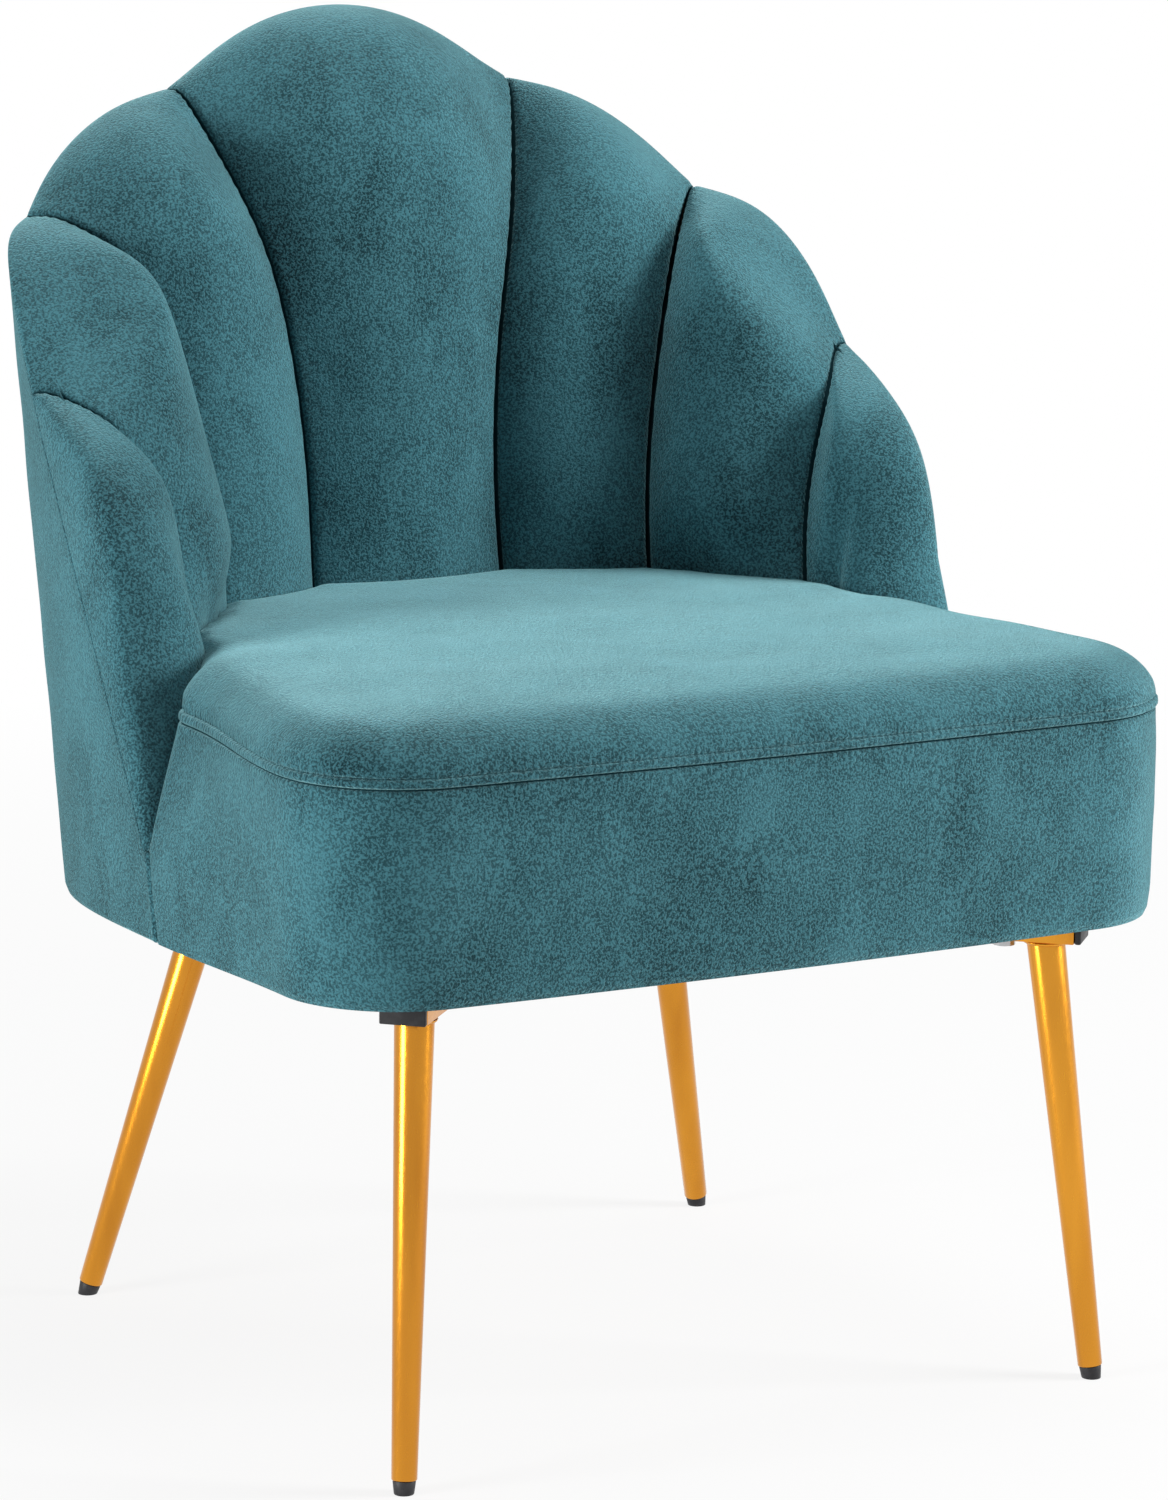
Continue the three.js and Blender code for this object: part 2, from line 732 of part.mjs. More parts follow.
function cornerArc(radius, z) {
  const points = [];
  for (let i = 0; i <= corner_steps; i++) {
    const turn = (Math.PI / 2) * (i / corner_steps) - Math.PI / 2;
    points.push(at(corner_x + radius * Math.cos(turn), corner_y + radius * Math.sin(turn), z));
  }
  return points;
}

function frontBlockOutline(z) {
  return [
    ...cornerArc(frame_corner_radius, z),
    at(rail_inner_x - touch_gap, corner_y, z),
    at(rail_inner_x - touch_gap, corner_y + block_side_reach, z),
    at(rail_inner_x - block_front_reach, rail_inner_y + touch_gap, z),
    at(corner_x, rail_inner_y + touch_gap, z),
  ];
}

const block_face = pad_back + 2 * touch_gap;
const rear_block_girths = [];
for (let i = 0; i <= tuck_steps; i++) {
  const first = half_girth - side_rail_back_reach - block_edge_step;
  rear_block_girths.push(mix(first, rear_rail_half_girth + touch_gap, i / tuck_steps));
}

function rearBlockOutline(z) {
  const side_y = side_rail_back_reach + touch_gap;
  const outer = rear_block_girths.map((girth) => shellPoint(girth, z, block_face));
  const end = shellPoint(rear_rail_half_girth + touch_gap, z, pad_back + rail_thickness);
  const toe = shellPoint(rear_block_girths[0], z, block_face);
  return [
    at(toe.x, side_y, z),
    ...outer,
    end,
    at(end.x, block_rear_reach, z),
    at(rail_inner_x - block_rear_inset, side_y, z),
  ];
}

const frame_side_base = corner_y + touch_gap;
const right_rail = plainRail(
  rail_inner_x,
  frame_half_width,
  frame_side_base,
  side_rail_back_reach,
);

function rearRail() {
  const girths = [];
  for (let i = 0; i <= tuck_steps; i++) {
    girths.push(mix(-rear_rail_half_girth, rear_rail_half_girth, i / tuck_steps));
  }
  const row = (height, depth) => girths.map((girth) => shellPoint(girth, height, depth));
  const near = pad_back + rail_thickness;
  return sheet(
    [row(frame_top, near), row(frame_base, near)],
    [row(frame_top, pad_back), row(frame_base, pad_back)],
  );
}

// Bolts and tee nuts: one pair beside each leg, through the tube and its corner block

const legs = [
  { name: "front_left", side: -1, top: front_leg_top, toe: front_leg_toe },
  { name: "front_right", side: 1, top: front_leg_top, toe: front_leg_toe },
  { name: "rear_left", side: -1, top: rear_leg_top, toe: rear_leg_toe },
  { name: "rear_right", side: 1, top: rear_leg_top, toe: rear_leg_toe },
];
const tube_run = new THREE.Vector2(
  front_leg_top.x + rear_leg_top.x,
  rear_leg_top.y - front_leg_top.y,
);
const tube_span = tube_run.length();
const tube_angle = tube_run.angle();

function boltPlace(leg) {
  const inward = tube_run.clone().normalize();
  if (leg.top === rear_leg_top) inward.negate();
  const x = leg.top.x - Math.abs(inward.x) * bolt_inboard;
  return new THREE.Vector2(leg.side * x, leg.top.y + inward.y * bolt_inboard);
}

// An upright turned solid from a closed or axis-to-axis profile of (radius, height) pairs
function turned(profile, sides = small_sides) {
  const points = profile.map(([radius, height]) => new THREE.Vector2(radius, height));
  return new THREE.LatheGeometry(points, sides).rotateX(Math.PI / 2);
}

function upright(radius, base, top) {
  const height = top - base;
  const cylinder = new THREE.CylinderGeometry(radius, radius, height, small_sides);
  return cylinder.rotateX(Math.PI / 2).translate(0, 0, base + height / 2);
}

const cut_overrun = 2;
const bolt_clear_radius = bolt_radius + touch_gap;
const nut_floor = frame_top - nut_barrel_length;
const nut_clear_radius = nut_barrel_radius + touch_gap;

function boltBore(place) {
  const bore = upright(bolt_clear_radius, frame_base - cut_overrun, frame_top + cut_overrun);
  const pocket = upright(nut_clear_radius, nut_floor - touch_gap, frame_top + cut_overrun);
  return join(bore, pocket).translate(place.x, place.y, 0);
}

const bolt_top = frame_top + nut_flange_thickness - bolt_top_margin;
const bolt_profile = [
  [0, tube_base - touch_gap - bolt_head_height],
  [bolt_head_radius, tube_base - touch_gap - bolt_head_height],
  [bolt_head_radius, tube_base - touch_gap],
  [bolt_radius, tube_base - touch_gap],
  [bolt_radius, bolt_top],
  [0, bolt_top],
];
const nut_profile = [
  [bolt_clear_radius, nut_floor],
  [nut_barrel_radius, nut_floor],
  [nut_barrel_radius, frame_top + touch_gap],
  [nut_flange_radius, frame_top + touch_gap],
  [nut_flange_radius, frame_top + touch_gap + nut_flange_thickness],
  [bolt_clear_radius, frame_top + touch_gap + nut_flange_thickness],
  [bolt_clear_radius, nut_floor],
];

for (const leg of legs) {
  const place = boltPlace(leg);
  const bolt = addPiece("base_bolt_" + leg.name, turned(bolt_profile), steel);
  bolt.position.set(place.x, place.y, 0);
  const nut = addPiece("tee_nut_" + leg.name, turned(nut_profile), steel);
  nut.position.set(place.x, place.y, 0);
}

const front_bore = boltBore(boltPlace(legs[1]));
const rear_bore = boltBore(boltPlace(legs[3]));
const front_block = cut(uprightPrism(frontBlockOutline, frame_base, frame_top), front_bore);
const rear_block = cut(uprightPrism(rearBlockOutline, frame_base, frame_top), rear_bore);
addPiece("corner_block_front_right", front_block, timber);
addPiece("corner_block_front_left", mirrored(front_block), timber);
addPiece("corner_block_rear_right", rear_block, timber);
addPiece("corner_block_rear_left", mirrored(rear_block), timber);

// Screws from the outside of the shell into the rails

const screw_height = frame_base + frame_height * screw_height_share;
const screw_profile = [
  [0, -screw_length],
  [screw_radius, -screw_length + screw_radius],
  [screw_radius, -screw_head_height],
  [screw_head_radius, 0],
  [0, 0],
];
const bore_profile = [
  [0, -screw_length - touch_gap],
  [screw_radius + touch_gap, -screw_length - touch_gap],
  [screw_radius + touch_gap, -screw_head_height],
  [screw_head_radius + touch_gap, 0],
  [screw_head_radius + touch_gap, cut_overrun],
  [0, cut_overrun],
];

function screwPlace(girth) {
  const plan = planAt(girth);
  const outward = at(plan.out_x, plan.out_y, 0);
  const turn = new THREE.Quaternion().setFromUnitVectors(at(0, 0, 1), outward);
  const place = shellPoint(girth, screw_height, ply_face + screw_sink);
  return new THREE.Matrix4().compose(place, turn, new THREE.Vector3(1, 1, 1));
}

const screw_girths = screw_girth_shares.map((share) => share * half_girth);
const screw_spots = [...screw_girths, ...screw_girths.map((girth) => -girth)];
const screw_bores = screw_spots.map((girth) =>
  turned(bore_profile).applyMatrix4(screwPlace(girth)),
);
screw_spots.forEach((girth, i) => {
  const side = girth < 0 ? "left" : "right";
  const place = ["rear", "side_back", "side_front"][i % 3];
  const screw = addPiece("shell_screw_" + place + "_" + side, turned(screw_profile), steel);
  screwPlace(girth).decompose(screw.position, screw.quaternion, screw.scale);
});

addPiece("back_shell", cut(shell_blank, ...screw_bores), plywood);
addPiece("rear_rail", cut(rearRail(), screw_bores[0], screw_bores[3]), timber);
const bored_rail = cut(right_rail, screw_bores[1], screw_bores[2]);
addPiece("side_rail_right", bored_rail, timber);
addPiece("side_rail_left", mirrored(bored_rail), timber);

// Webbing: straps woven over and under each other, fixed on top of the rails

const long_places = [-1, 0, 1].map((i) => i * long_strap_pitch);
const cross_places = [-1, 0, 1].map((i) => cross_strap_centre + i * cross_strap_pitch);
const strap_half = strap_width / 2;

// The strap's centre line as (distance, height) pairs; over is 0 or 1 at the first crossing
function strapLine(start, end, crossings, over) {
  const line = [[start, 0]];
  crossings.forEach((place, i) => {
    const lift = ((i + over) % 2) * strap_rise;
    line.push([place - strap_half - strap_end_margin, lift]);
    line.push([place + strap_half + strap_end_margin, lift]);
  });
  line.push([end, 0]);
  return line;
}

function strap(line, place, pointAt) {
  const row = (edge, lift) =>
    line.map(([along, rise]) => pointAt(along, place + edge, strap_level + rise + lift));
  const half = strap_thickness / 2;
  return sheet(
    [row(-strap_half, half), row(strap_half, half)],
    [row(-strap_half, -half), row(strap_half, -half)],
  );
}

const rear_rail_end = shellPoint(0, frame_top, pad_back).y - strap_end_margin;
const front_rail_end = -frame_front_reach + strap_end_margin;
const side_rail_end = frame_half_width - strap_end_margin;
long_places.forEach((place, i) => {
  const line = strapLine(front_rail_end, rear_rail_end, cross_places, i);
  const geometry = strap(line, place, (along, across, height) => at(across, along, height));
  addPiece("webbing_long_" + (i + 1), geometry, webbing);
});
cross_places.forEach((place, i) => {
  const line = strapLine(-side_rail_end, side_rail_end, long_places, i + 1);
  const geometry = strap(line, -place, (along, across, height) => at(along, -across, height));
  addPiece("webbing_cross_" + (i + 1), geometry, webbing);
});

// Seat cushion: foam under a crowned top panel sewn to an upright boxing band

const seat_corner_x = seat_half_width - seat_corner_radius;
const seat_corner_y = -seat_front_reach + seat_corner_radius;

// Where the wing's front stands at a height
function wingFrontY(height) {
  const share = (height - deck_height) / (wing_front.y - deck_height);
  const girth = mix(wing_toe.x, wing_front.x, Math.max(share, 0));
  return shellPoint(girth, height, 0).y;
}

// Half of the seat's outline at a height, from the middle of the front round to the middle
// of the back, drawn in by an inset; behind the wings it runs inside the padding
function seatHalf(height, inset, z) {
  const points = [];
  const radius = seat_corner_radius - inset;
  const front = -seat_front_reach + inset;
  for (let i = 0; i < side_steps; i++) {
    const share = i / side_steps;
    const bow = seat_front_bow * (1 - share ** 2);
    points.push(at(seat_corner_x * share, front - bow, z));
  }
  for (let i = 0; i <= corner_steps; i++) {
    const turn = (Math.PI / 2) * (i / corner_steps) - Math.PI / 2;
    const x = seat_corner_x + radius * Math.cos(turn);
    points.push(at(x, seat_corner_y + radius * Math.sin(turn), z));
  }
  const climb = (height - deck_height) / (seat_seam_height - deck_height);
  const heel_share = Math.min(Math.max(climb, 0), 1);
  const heel = mix(seat_seam_draw, seat_heel_radius, heel_share);
  const heel_y = wingFrontY(height) + seat_seam_draw - heel;
  const side_x = seat_half_width - inset;
  const rising = Math.min(Math.max((height - seat_seam_height) / seat_seam_draw, 0), 1);
  const flush_x = shell_half_width - seat_heel_draw * heel_share - inset * rising;
  for (let i = 1; i < side_steps; i++) {
    const share = i / side_steps;
    points.push(at(mix(side_x, flush_x, ease(share)), mix(seat_corner_y, heel_y, share), z));
  }
  for (let i = 0; i <= heel_steps; i++) {
    const turn = (Math.PI / 2) * (i / heel_steps);
    const x = flush_x - heel * (1 - Math.cos(turn));
    points.push(at(x, heel_y + heel * Math.sin(turn), z));
  }
  for (let i = 0; i <= tuck_steps; i++) {
    const share = i / tuck_steps;
    const girth = mix(half_girth - seat_tuck, 0, share);
    const spot = shellPoint(girth, height, mix(seat_side_tuck, seat_tuck, share));
    points.push(at(spot.x, spot.y, z));
  }
  return points;
}

function seatRing(height, inset, z = height) {
  const right = seatHalf(height, inset, z);
  const left = right.slice(1, -1).map((point) => at(-point.x, point.y, z));
  return [...right, ...left.reverse()];
}

const boxing_height_shares = [0, 0.03, 0.12, 0.5, 0.88, 0.97, 1];
const boxing_draw_shares = [1.6, 1, 0.5, 0, 0.3, 0.5, 1.3];
const seat_rings = boxing_height_shares.map((share, i) => {
  const height = mix(hem_height, seat_seam_height, share);
  return seatRing(height, boxing_draw_shares[i] * seat_seam_draw);
});
const crown_steps = 5;
for (let i = 1; i <= crown_steps; i++) {
  const turn = (Math.PI / 2) * (i / crown_steps);
  const inset = seat_crown_draw + seat_crown_run * (1 - Math.cos(turn));
  const height = seat_seam_height + crown_rise * seat_edge_rise_share * Math.sin(turn);
  seat_rings.push(seatRing(height, inset));
}
const dome_shares = [0.66, 0.3];
const dome_rise_shares = [0.7, 0.97];
const last_ring = seat_rings.at(-1);
const seat_middle = at(0, 0, 0);
dome_shares.forEach((share, i) => {
  const rise = crown_rise * (1 - seat_edge_rise_share) * dome_rise_shares[i];
  seat_rings.push(
    last_ring.map((point) => {
      const spot = seat_middle.clone().lerp(point, share);
      spot.z = last_ring[0].z + rise;
      return spot;
    }),
  );
});

// The room that the frame, the shell and the padding take out of the cushion
const room_base = frame_base - tube_height;
const frame_room_outline = (z) => {
  const back = shell_back_reach + back_height;
  const arc = cornerArc(frame_corner_radius + touch_gap, z);
  const left_arc = arc.map((point) => at(-point.x, point.y, z)).reverse();
  const side = frame_half_width + touch_gap;
  return [...left_arc, ...arc, at(side, back, z), at(-side, back, z)];
};
const frame_room = uprightPrism(frame_room_outline, room_base, deck_height);

function shellRoom() {
  const girths = [];
  const reach = wing_toe.x + touch_gap;
  const count = 2 * tuck_steps;
  for (let i = 0; i <= count; i++) girths.push(mix(-reach, reach, i / count));
  const row = (height, depth) => girths.map((girth) => shellPoint(girth, height, depth));
  const top = deck_height + touch_gap;
  return sheet(
    [row(top, seat_tuck), row(room_base, seat_tuck)],
    [row(top, -cover_thickness), row(room_base, -cover_thickness)],
  );
}

// The biggest body of a solid, without the trimmings that a cut leaves
function mainBody(geometry) {
  const bodies = solidFrom(geometry).decompose();
  bodies.sort((first, second) => second.volume() - first.volume());
  return geometryFrom(bodies[0]);
}

const seat_tools = [frame_room, shellRoom(), ...grown_pads];
seat_tools.push(...grown_pads.slice(1).map((geometry) => mirrored(geometry)));
addPiece("seat_cushion", mainBody(cut(loft(seat_rings), ...seat_tools)), velvet);

// Dust cover: black cloth under the frame, with a hole for each bolt

const dust_shape = new THREE.Shape();
const dust_arc = cornerArc(frame_corner_radius - dust_inset, 0);
const dust_front = dust_arc.map((point) => new THREE.Vector2(point.x, point.y));
const dust_back = [];
for (let i = 0; i <= tuck_steps; i++) {
  const girth = mix(half_girth - side_rail_back_reach, 0, i / tuck_steps);
  const spot = shellPoint(girth, hem_height, pad_back + dust_inset);
  dust_back.push(new THREE.Vector2(spot.x, spot.y));
}
const dust_right = [...dust_front, ...dust_back];
const dust_left = dust_right.slice(0, -1).map((p) => new THREE.Vector2(-p.x, p.y));
dust_shape.setFromPoints([...dust_right, ...dust_left.reverse()]);
for (const leg of legs) {
  const place = boltPlace(leg);
  const hole = new THREE.Path();
  hole.absarc(place.x, place.y, bolt_clear_radius, 0, 2 * Math.PI, true);
  dust_shape.holes.push(hole);
}
const dust_geometry = new THREE.ExtrudeGeometry(dust_shape, {
  depth: dust_thickness,
  bevelEnabled: false,
  curveSegments: small_sides,
});
addPiece("dust_cover", dust_geometry, black_cloth).position.z = dust_base;

// Base: one whole tube from front left to rear right, and two halves that butt against it

function box(length, width, height) {
  return new THREE.BoxGeometry(length, width, height);
}

function rectangle(width, height) {
  const x = width / 2;
  const y = height / 2;
  return [
    new THREE.Vector2(-x, -y),
    new THREE.Vector2(x, -y),
    new THREE.Vector2(x, y),
    new THREE.Vector2(-x, y),
  ];
}

// A tube along X from its start, with its section centred on the axis
function rectangularTube(length) {
  const shape = new THREE.Shape(rectangle(tube_width, tube_height));
  const bore_width = tube_width - 2 * tube_wall;
  const bore_height = tube_height - 2 * tube_wall;
  shape.holes.push(new THREE.Path(rectangle(bore_width, bore_height).reverse()));
  const tube = new THREE.ExtrudeGeometry(shape, { depth: length, bevelEnabled: false });
  return tube.rotateX(Math.PI / 2).rotateZ(Math.PI / 2);
}

const tube_level = tube_base + tube_height / 2;
const half_height = tube_height / 2 + cut_overrun;
const bolt_hole = upright(bolt_clear_radius, -half_height, half_height);
const first_bolt = tube_overhang + bolt_inboard;
const long_length = tube_span + 2 * tube_overhang;
const last_bolt = long_length - first_bolt;
const long_tube = cut(
  rectangularTube(long_length),
  bolt_hole.clone().translate(first_bolt, 0, 0),
  bolt_hole.clone().translate(last_bolt, 0, 0),
);

// Where the two tubes cross, measured from each end of the whole one
const crossing_from_front = front_leg_top.x / Math.cos(tube_angle);
const crossing_from_rear = tube_span - crossing_from_front;
const crossing_turn = Math.PI - 2 * tube_angle;
const butt = tube_width / 2 / Math.sin(crossing_turn) + touch_gap;
const skew_room = (tube_width / 2) * Math.abs(Math.cos(crossing_turn));

function halfTube(reach) {
  const length = reach + tube_overhang - butt - skew_room;
  return cut(rectangularTube(length), bolt_hole.clone().translate(first_bolt, 0, 0));
}

// A frame for a tube that starts at an overhang beyond a leg's top and runs inboard
function tubeFrame(leg) {
  const group = new THREE.Group();
  const front = leg.top === front_leg_top;
  const run = tube_run.clone().normalize();
  const inward = new THREE.Vector2(-leg.side * run.x, front ? run.y : -run.y);
  const start = new THREE.Vector2(leg.side * leg.top.x, leg.top.y);
  start.addScaledVector(inward, -tube_overhang);
  group.position.set(start.x, start.y, tube_level);
  group.rotation.z = inward.angle();
  chair.add(group);
  return group;
}

const plug_clear = 2 * (tube_wall + touch_gap);
const spigot = box(plug_spigot_length, tube_width - plug_clear, tube_height - plug_clear);
spigot.translate(plug_spigot_length / 2 - touch_gap, 0, 0);
const plug_cap = box(plug_cap_thickness, tube_width, tube_height);
plug_cap.translate(-plug_cap_thickness / 2 - touch_gap, 0, 0);
const plug = join(plug_cap, spigot);

const tubes = {
  front_left: ["base_tube_long", long_tube],
  front_right: ["base_tube_half_front", halfTube(crossing_from_front)],
  rear_left: ["base_tube_half_rear", halfTube(crossing_from_rear)],
};
for (const leg of legs) {
  const group = tubeFrame(leg);
  if (tubes[leg.name]) addPiece(tubes[leg.name][0], tubes[leg.name][1], gold, group);
  addPiece("tube_plug_" + leg.name, plug.clone(), black_plastic, group);
}

// Legs: tapered steel tube, mitred at the top where it is welded, with a plastic glide

function legMatrix(leg) {
  const toe = at(leg.side * leg.toe.x, leg.toe.y, 0);
  const top = at(leg.side * leg.top.x, leg.top.y, tube_base);
  const axis = top.clone().sub(toe);
  const turn = new THREE.Quaternion().setFromUnitVectors(at(0, 0, 1), axis.normalize());
  return new THREE.Matrix4().compose(toe, turn, new THREE.Vector3(1, 1, 1));
}

function aboveAndBelow(base, top) {
  const reach = chair_height;
  const upper = box(reach, reach, reach).translate(0, 0, top + reach / 2);
  const lower = box(reach, reach, reach).translate(0, 0, base - reach / 2);
  return [upper, lower];
}

for (const leg of legs) {
  const splay = leg.top.distanceTo(leg.toe);
  const length = Math.hypot(splay, tube_base);
  const over = leg_top_radius;
  const radiusAt = (along) => mix(leg_toe_radius, leg_top_radius, along / length);
  const tube_profile = [
    [radiusAt(glide_height) - leg_wall, glide_height],
    [radiusAt(glide_height), glide_height],
    [radiusAt(length + over), length + over],
    [radiusAt(length + over) - leg_wall, length + over],
    [radiusAt(glide_height) - leg_wall, glide_height],
  ];
  const place = legMatrix(leg);
  const blank = turned(tube_profile, round_sides).applyMatrix4(place);
  const [above] = aboveAndBelow(0, tube_base - touch_gap);
  addPiece("leg_" + leg.name, cut(blank, above), gold);

  const stem_radius = radiusAt(glide_height) - leg_wall - touch_gap;
  const rim = glide_height - touch_gap;
  const glide_profile = [
    [0, -glide_collar_height],
    [glide_sole_radius, -glide_collar_height],
    [glide_rim_radius, rim - glide_collar_height],
    [glide_rim_radius, rim],
    [stem_radius, rim],
    [stem_radius, rim + glide_stem_length],
    [0, rim + glide_stem_length],
  ];
  const glide = turned(glide_profile, round_sides).applyMatrix4(place);
  const [, below] = aboveAndBelow(0, tube_base);
  addPiece("glide_" + leg.name, cut(glide, below), black_plastic);
}

// The part's origin is on the floor, under the middle of the whole chair
const whole = new THREE.Box3().setFromObject(chair);
chair.position.y = -(whole.min.y + whole.max.y) / 2;

export default chair;
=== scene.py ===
import json
import math

import bmesh
import bpy
import numpy as np
from mathutils import Matrix, Vector
from mathutils.bvhtree import BVHTree

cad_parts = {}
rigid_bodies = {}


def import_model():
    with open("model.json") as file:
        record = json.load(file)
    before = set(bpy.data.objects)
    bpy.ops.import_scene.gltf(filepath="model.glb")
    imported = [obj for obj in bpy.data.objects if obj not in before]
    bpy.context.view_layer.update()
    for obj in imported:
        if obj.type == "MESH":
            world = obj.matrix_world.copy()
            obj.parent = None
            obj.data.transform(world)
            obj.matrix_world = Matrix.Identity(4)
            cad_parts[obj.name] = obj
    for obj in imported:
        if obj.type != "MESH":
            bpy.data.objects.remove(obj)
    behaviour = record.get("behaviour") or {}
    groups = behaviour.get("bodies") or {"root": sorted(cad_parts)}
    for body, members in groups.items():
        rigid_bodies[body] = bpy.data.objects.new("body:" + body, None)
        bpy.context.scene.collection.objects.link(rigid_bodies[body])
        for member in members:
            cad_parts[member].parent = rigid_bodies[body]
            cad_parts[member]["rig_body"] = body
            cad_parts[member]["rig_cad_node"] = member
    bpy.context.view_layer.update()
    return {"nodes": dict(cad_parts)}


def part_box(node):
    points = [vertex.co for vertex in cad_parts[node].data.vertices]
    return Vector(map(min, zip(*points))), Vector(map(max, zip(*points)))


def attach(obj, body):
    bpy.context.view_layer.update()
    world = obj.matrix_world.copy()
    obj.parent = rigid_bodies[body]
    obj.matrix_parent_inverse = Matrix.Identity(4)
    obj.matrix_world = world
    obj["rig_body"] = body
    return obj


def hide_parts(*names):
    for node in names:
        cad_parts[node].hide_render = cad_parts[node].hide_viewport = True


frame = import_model()

# Camera. It stands in front of the chair and to its right as the chair sits, a little above
# the seat, with a long lens, so the front left leg comes forward in the picture.

camera_place = Vector((-1.75778, -3.11197, 1.0681))
camera_yaw = 0.521374479
camera_pitch = 0.192340306
camera_roll = 0.009753542
focal_pixels = 5784.6
picture_height_pixels = 1500
sensor_mm = 36.0
view_reach = 50

ahead = Vector((math.sin(camera_yaw), math.cos(camera_yaw), 0))
rightward = Vector((math.cos(camera_yaw), -math.sin(camera_yaw), 0))
view_line = ahead * math.cos(camera_pitch) - Vector((0, 0, math.sin(camera_pitch)))
upward = ahead * math.sin(camera_pitch) + Vector((0, 0, math.cos(camera_pitch)))
rolled_right = rightward * math.cos(camera_roll) + upward * math.sin(camera_roll)
rolled_up = upward * math.cos(camera_roll) - rightward * math.sin(camera_roll)
camera_data = bpy.data.cameras.new("camera")
camera_data.sensor_width = sensor_mm
camera_data.lens = focal_pixels * sensor_mm / picture_height_pixels
camera_data.clip_end = view_reach
camera = bpy.data.objects.new("camera", camera_data)
bpy.context.scene.collection.objects.link(camera)
turn = Matrix((rolled_right, rolled_up, -view_line)).transposed().to_4x4()
camera.matrix_world = Matrix.Translation(camera_place) @ turn
bpy.context.scene.camera = camera


# Base. Crossed rectangular steel tubes under the seat, welded, polished and lacquered in
# warm gold. Each open end is closed by a black plastic plug.

gold_colour = (0.76, 0.32, 0.022, 1)
gold_dark_colour = (0.56, 0.21, 0.012, 1)


def new_finish(name, roughness, metallic=0.0, specular=0.5):
    """A material and its Principled shader, with the constant numbers on its sockets."""
    finish = bpy.data.materials.new(name)
    finish.use_nodes = True
    shader = finish.node_tree.nodes["Principled BSDF"]
    shader.inputs["Roughness"].default_value = roughness
    shader.inputs["Metallic"].default_value = metallic
    shader.inputs["Specular IOR Level"].default_value = specular
    return finish, shader


def add_node(tree, kind, settings=None, links=None):
    """A node with its settings and incoming links, by the names of its sockets."""
    node = tree.nodes.new(kind)
    for key, value in (settings or {}).items():
        if isinstance(key, str) and hasattr(node, key):
            setattr(node, key, value)
        else:
            node.inputs[key].default_value = value
    for key, source in (links or {}).items():
        tree.links.new(source, node.inputs[key])
    return node


def object_place(tree, stretch=(1, 1, 1)):
    """Object coordinates, stretched per axis."""
    place = add_node(tree, "ShaderNodeTexCoord")
    mapping = add_node(tree, "ShaderNodeMapping", links={"Vector": place.outputs["Object"]})
    mapping.inputs["Scale"].default_value = stretch
    return mapping.outputs["Vector"]


def feed(tree, socket, source):
    """Links a socket to another one, or sets it to a number or a colour."""
    if hasattr(source, "is_output"):
        tree.links.new(source, socket)
    else:
        socket.default_value = source


def blend_colours(tree, mask, first, second):
    """The first colour where the mask is 0, the second where it is 1."""
    node = add_node(tree, "ShaderNodeMix", {"data_type": "RGBA"}, {0: mask})
    feed(tree, node.inputs[6], first)
    feed(tree, node.inputs[7], second)
    return node.outputs[2]


def ranged(tree, value, low, high, to_low=0.0, to_high=1.0):
    """A value stretched from one range to another, and held inside it."""
    node = add_node(tree, "ShaderNodeMapRange", links={0: value})
    for index, number in enumerate((low, high, to_low, to_high), start=1):
        node.inputs[index].default_value = number
    return node.outputs[0]


def noise(tree, place, scale, detail=2.0, distortion=0.0):
    node = add_node(
        tree,
        "ShaderNodeTexNoise",
        {"Scale": scale, "Detail": detail, "Distortion": distortion},
        {"Vector": place},
    )
    return node.outputs[0]


def bump(tree, height, distance, strength=1.0, normal=None):
    links = {"Height": height}
    if normal is not None:
        links["Normal"] = normal
    settings = {"Distance": distance, "Strength": strength}
    return add_node(tree, "ShaderNodeBump", settings, links).outputs[0]


def new_group(name, inputs, outputs):
    """A node group that takes a place and numbers and puts out values, and its two ends."""
    tree = bpy.data.node_groups.new(name, "ShaderNodeTree")
    tree.interface.new_socket("Vector", in_out="INPUT", socket_type="NodeSocketVector")
    for socket in inputs:
        tree.interface.new_socket(socket, in_out="INPUT", socket_type="NodeSocketFloat")
    for socket in outputs:
        tree.interface.new_socket(socket, in_out="OUTPUT", socket_type="NodeSocketFloat")
    return tree, tree.nodes.new("NodeGroupInput"), tree.nodes.new("NodeGroupOutput")


def wear_group():
    """Handling marks for hard finishes: a soft cloud and fine scratches along a direction."""
    scales = ("Cloud Scale", "Scratch Scale")
    tree, source, result = new_group("handling_marks", scales, ("Cloud", "Scratches"))
    cloud = add_node(tree, "ShaderNodeTexNoise", {"Detail": 3.0})
    scratch = add_node(tree, "ShaderNodeTexNoise", {"Detail": 2.0, "Roughness": 0.7})
    for node, scale in zip((cloud, scratch), scales):
        tree.links.new(source.outputs["Vector"], node.inputs["Vector"])
        tree.links.new(source.outputs[scale], node.inputs["Scale"])
    tree.links.new(cloud.outputs[0], result.inputs["Cloud"])
    tree.links.new(scratch.outputs[0], result.inputs["Scratches"])
    return tree


handling_marks = wear_group()


def marks(tree, place, cloud_scale, scratch_scale):
    node = add_node(tree, "ShaderNodeGroup", {"node_tree": handling_marks})
    tree.links.new(place, node.inputs["Vector"])
    node.inputs["Cloud Scale"].default_value = cloud_scale
    node.inputs["Scratch Scale"].default_value = scratch_scale
    return node.outputs["Cloud"], node.outputs["Scratches"]


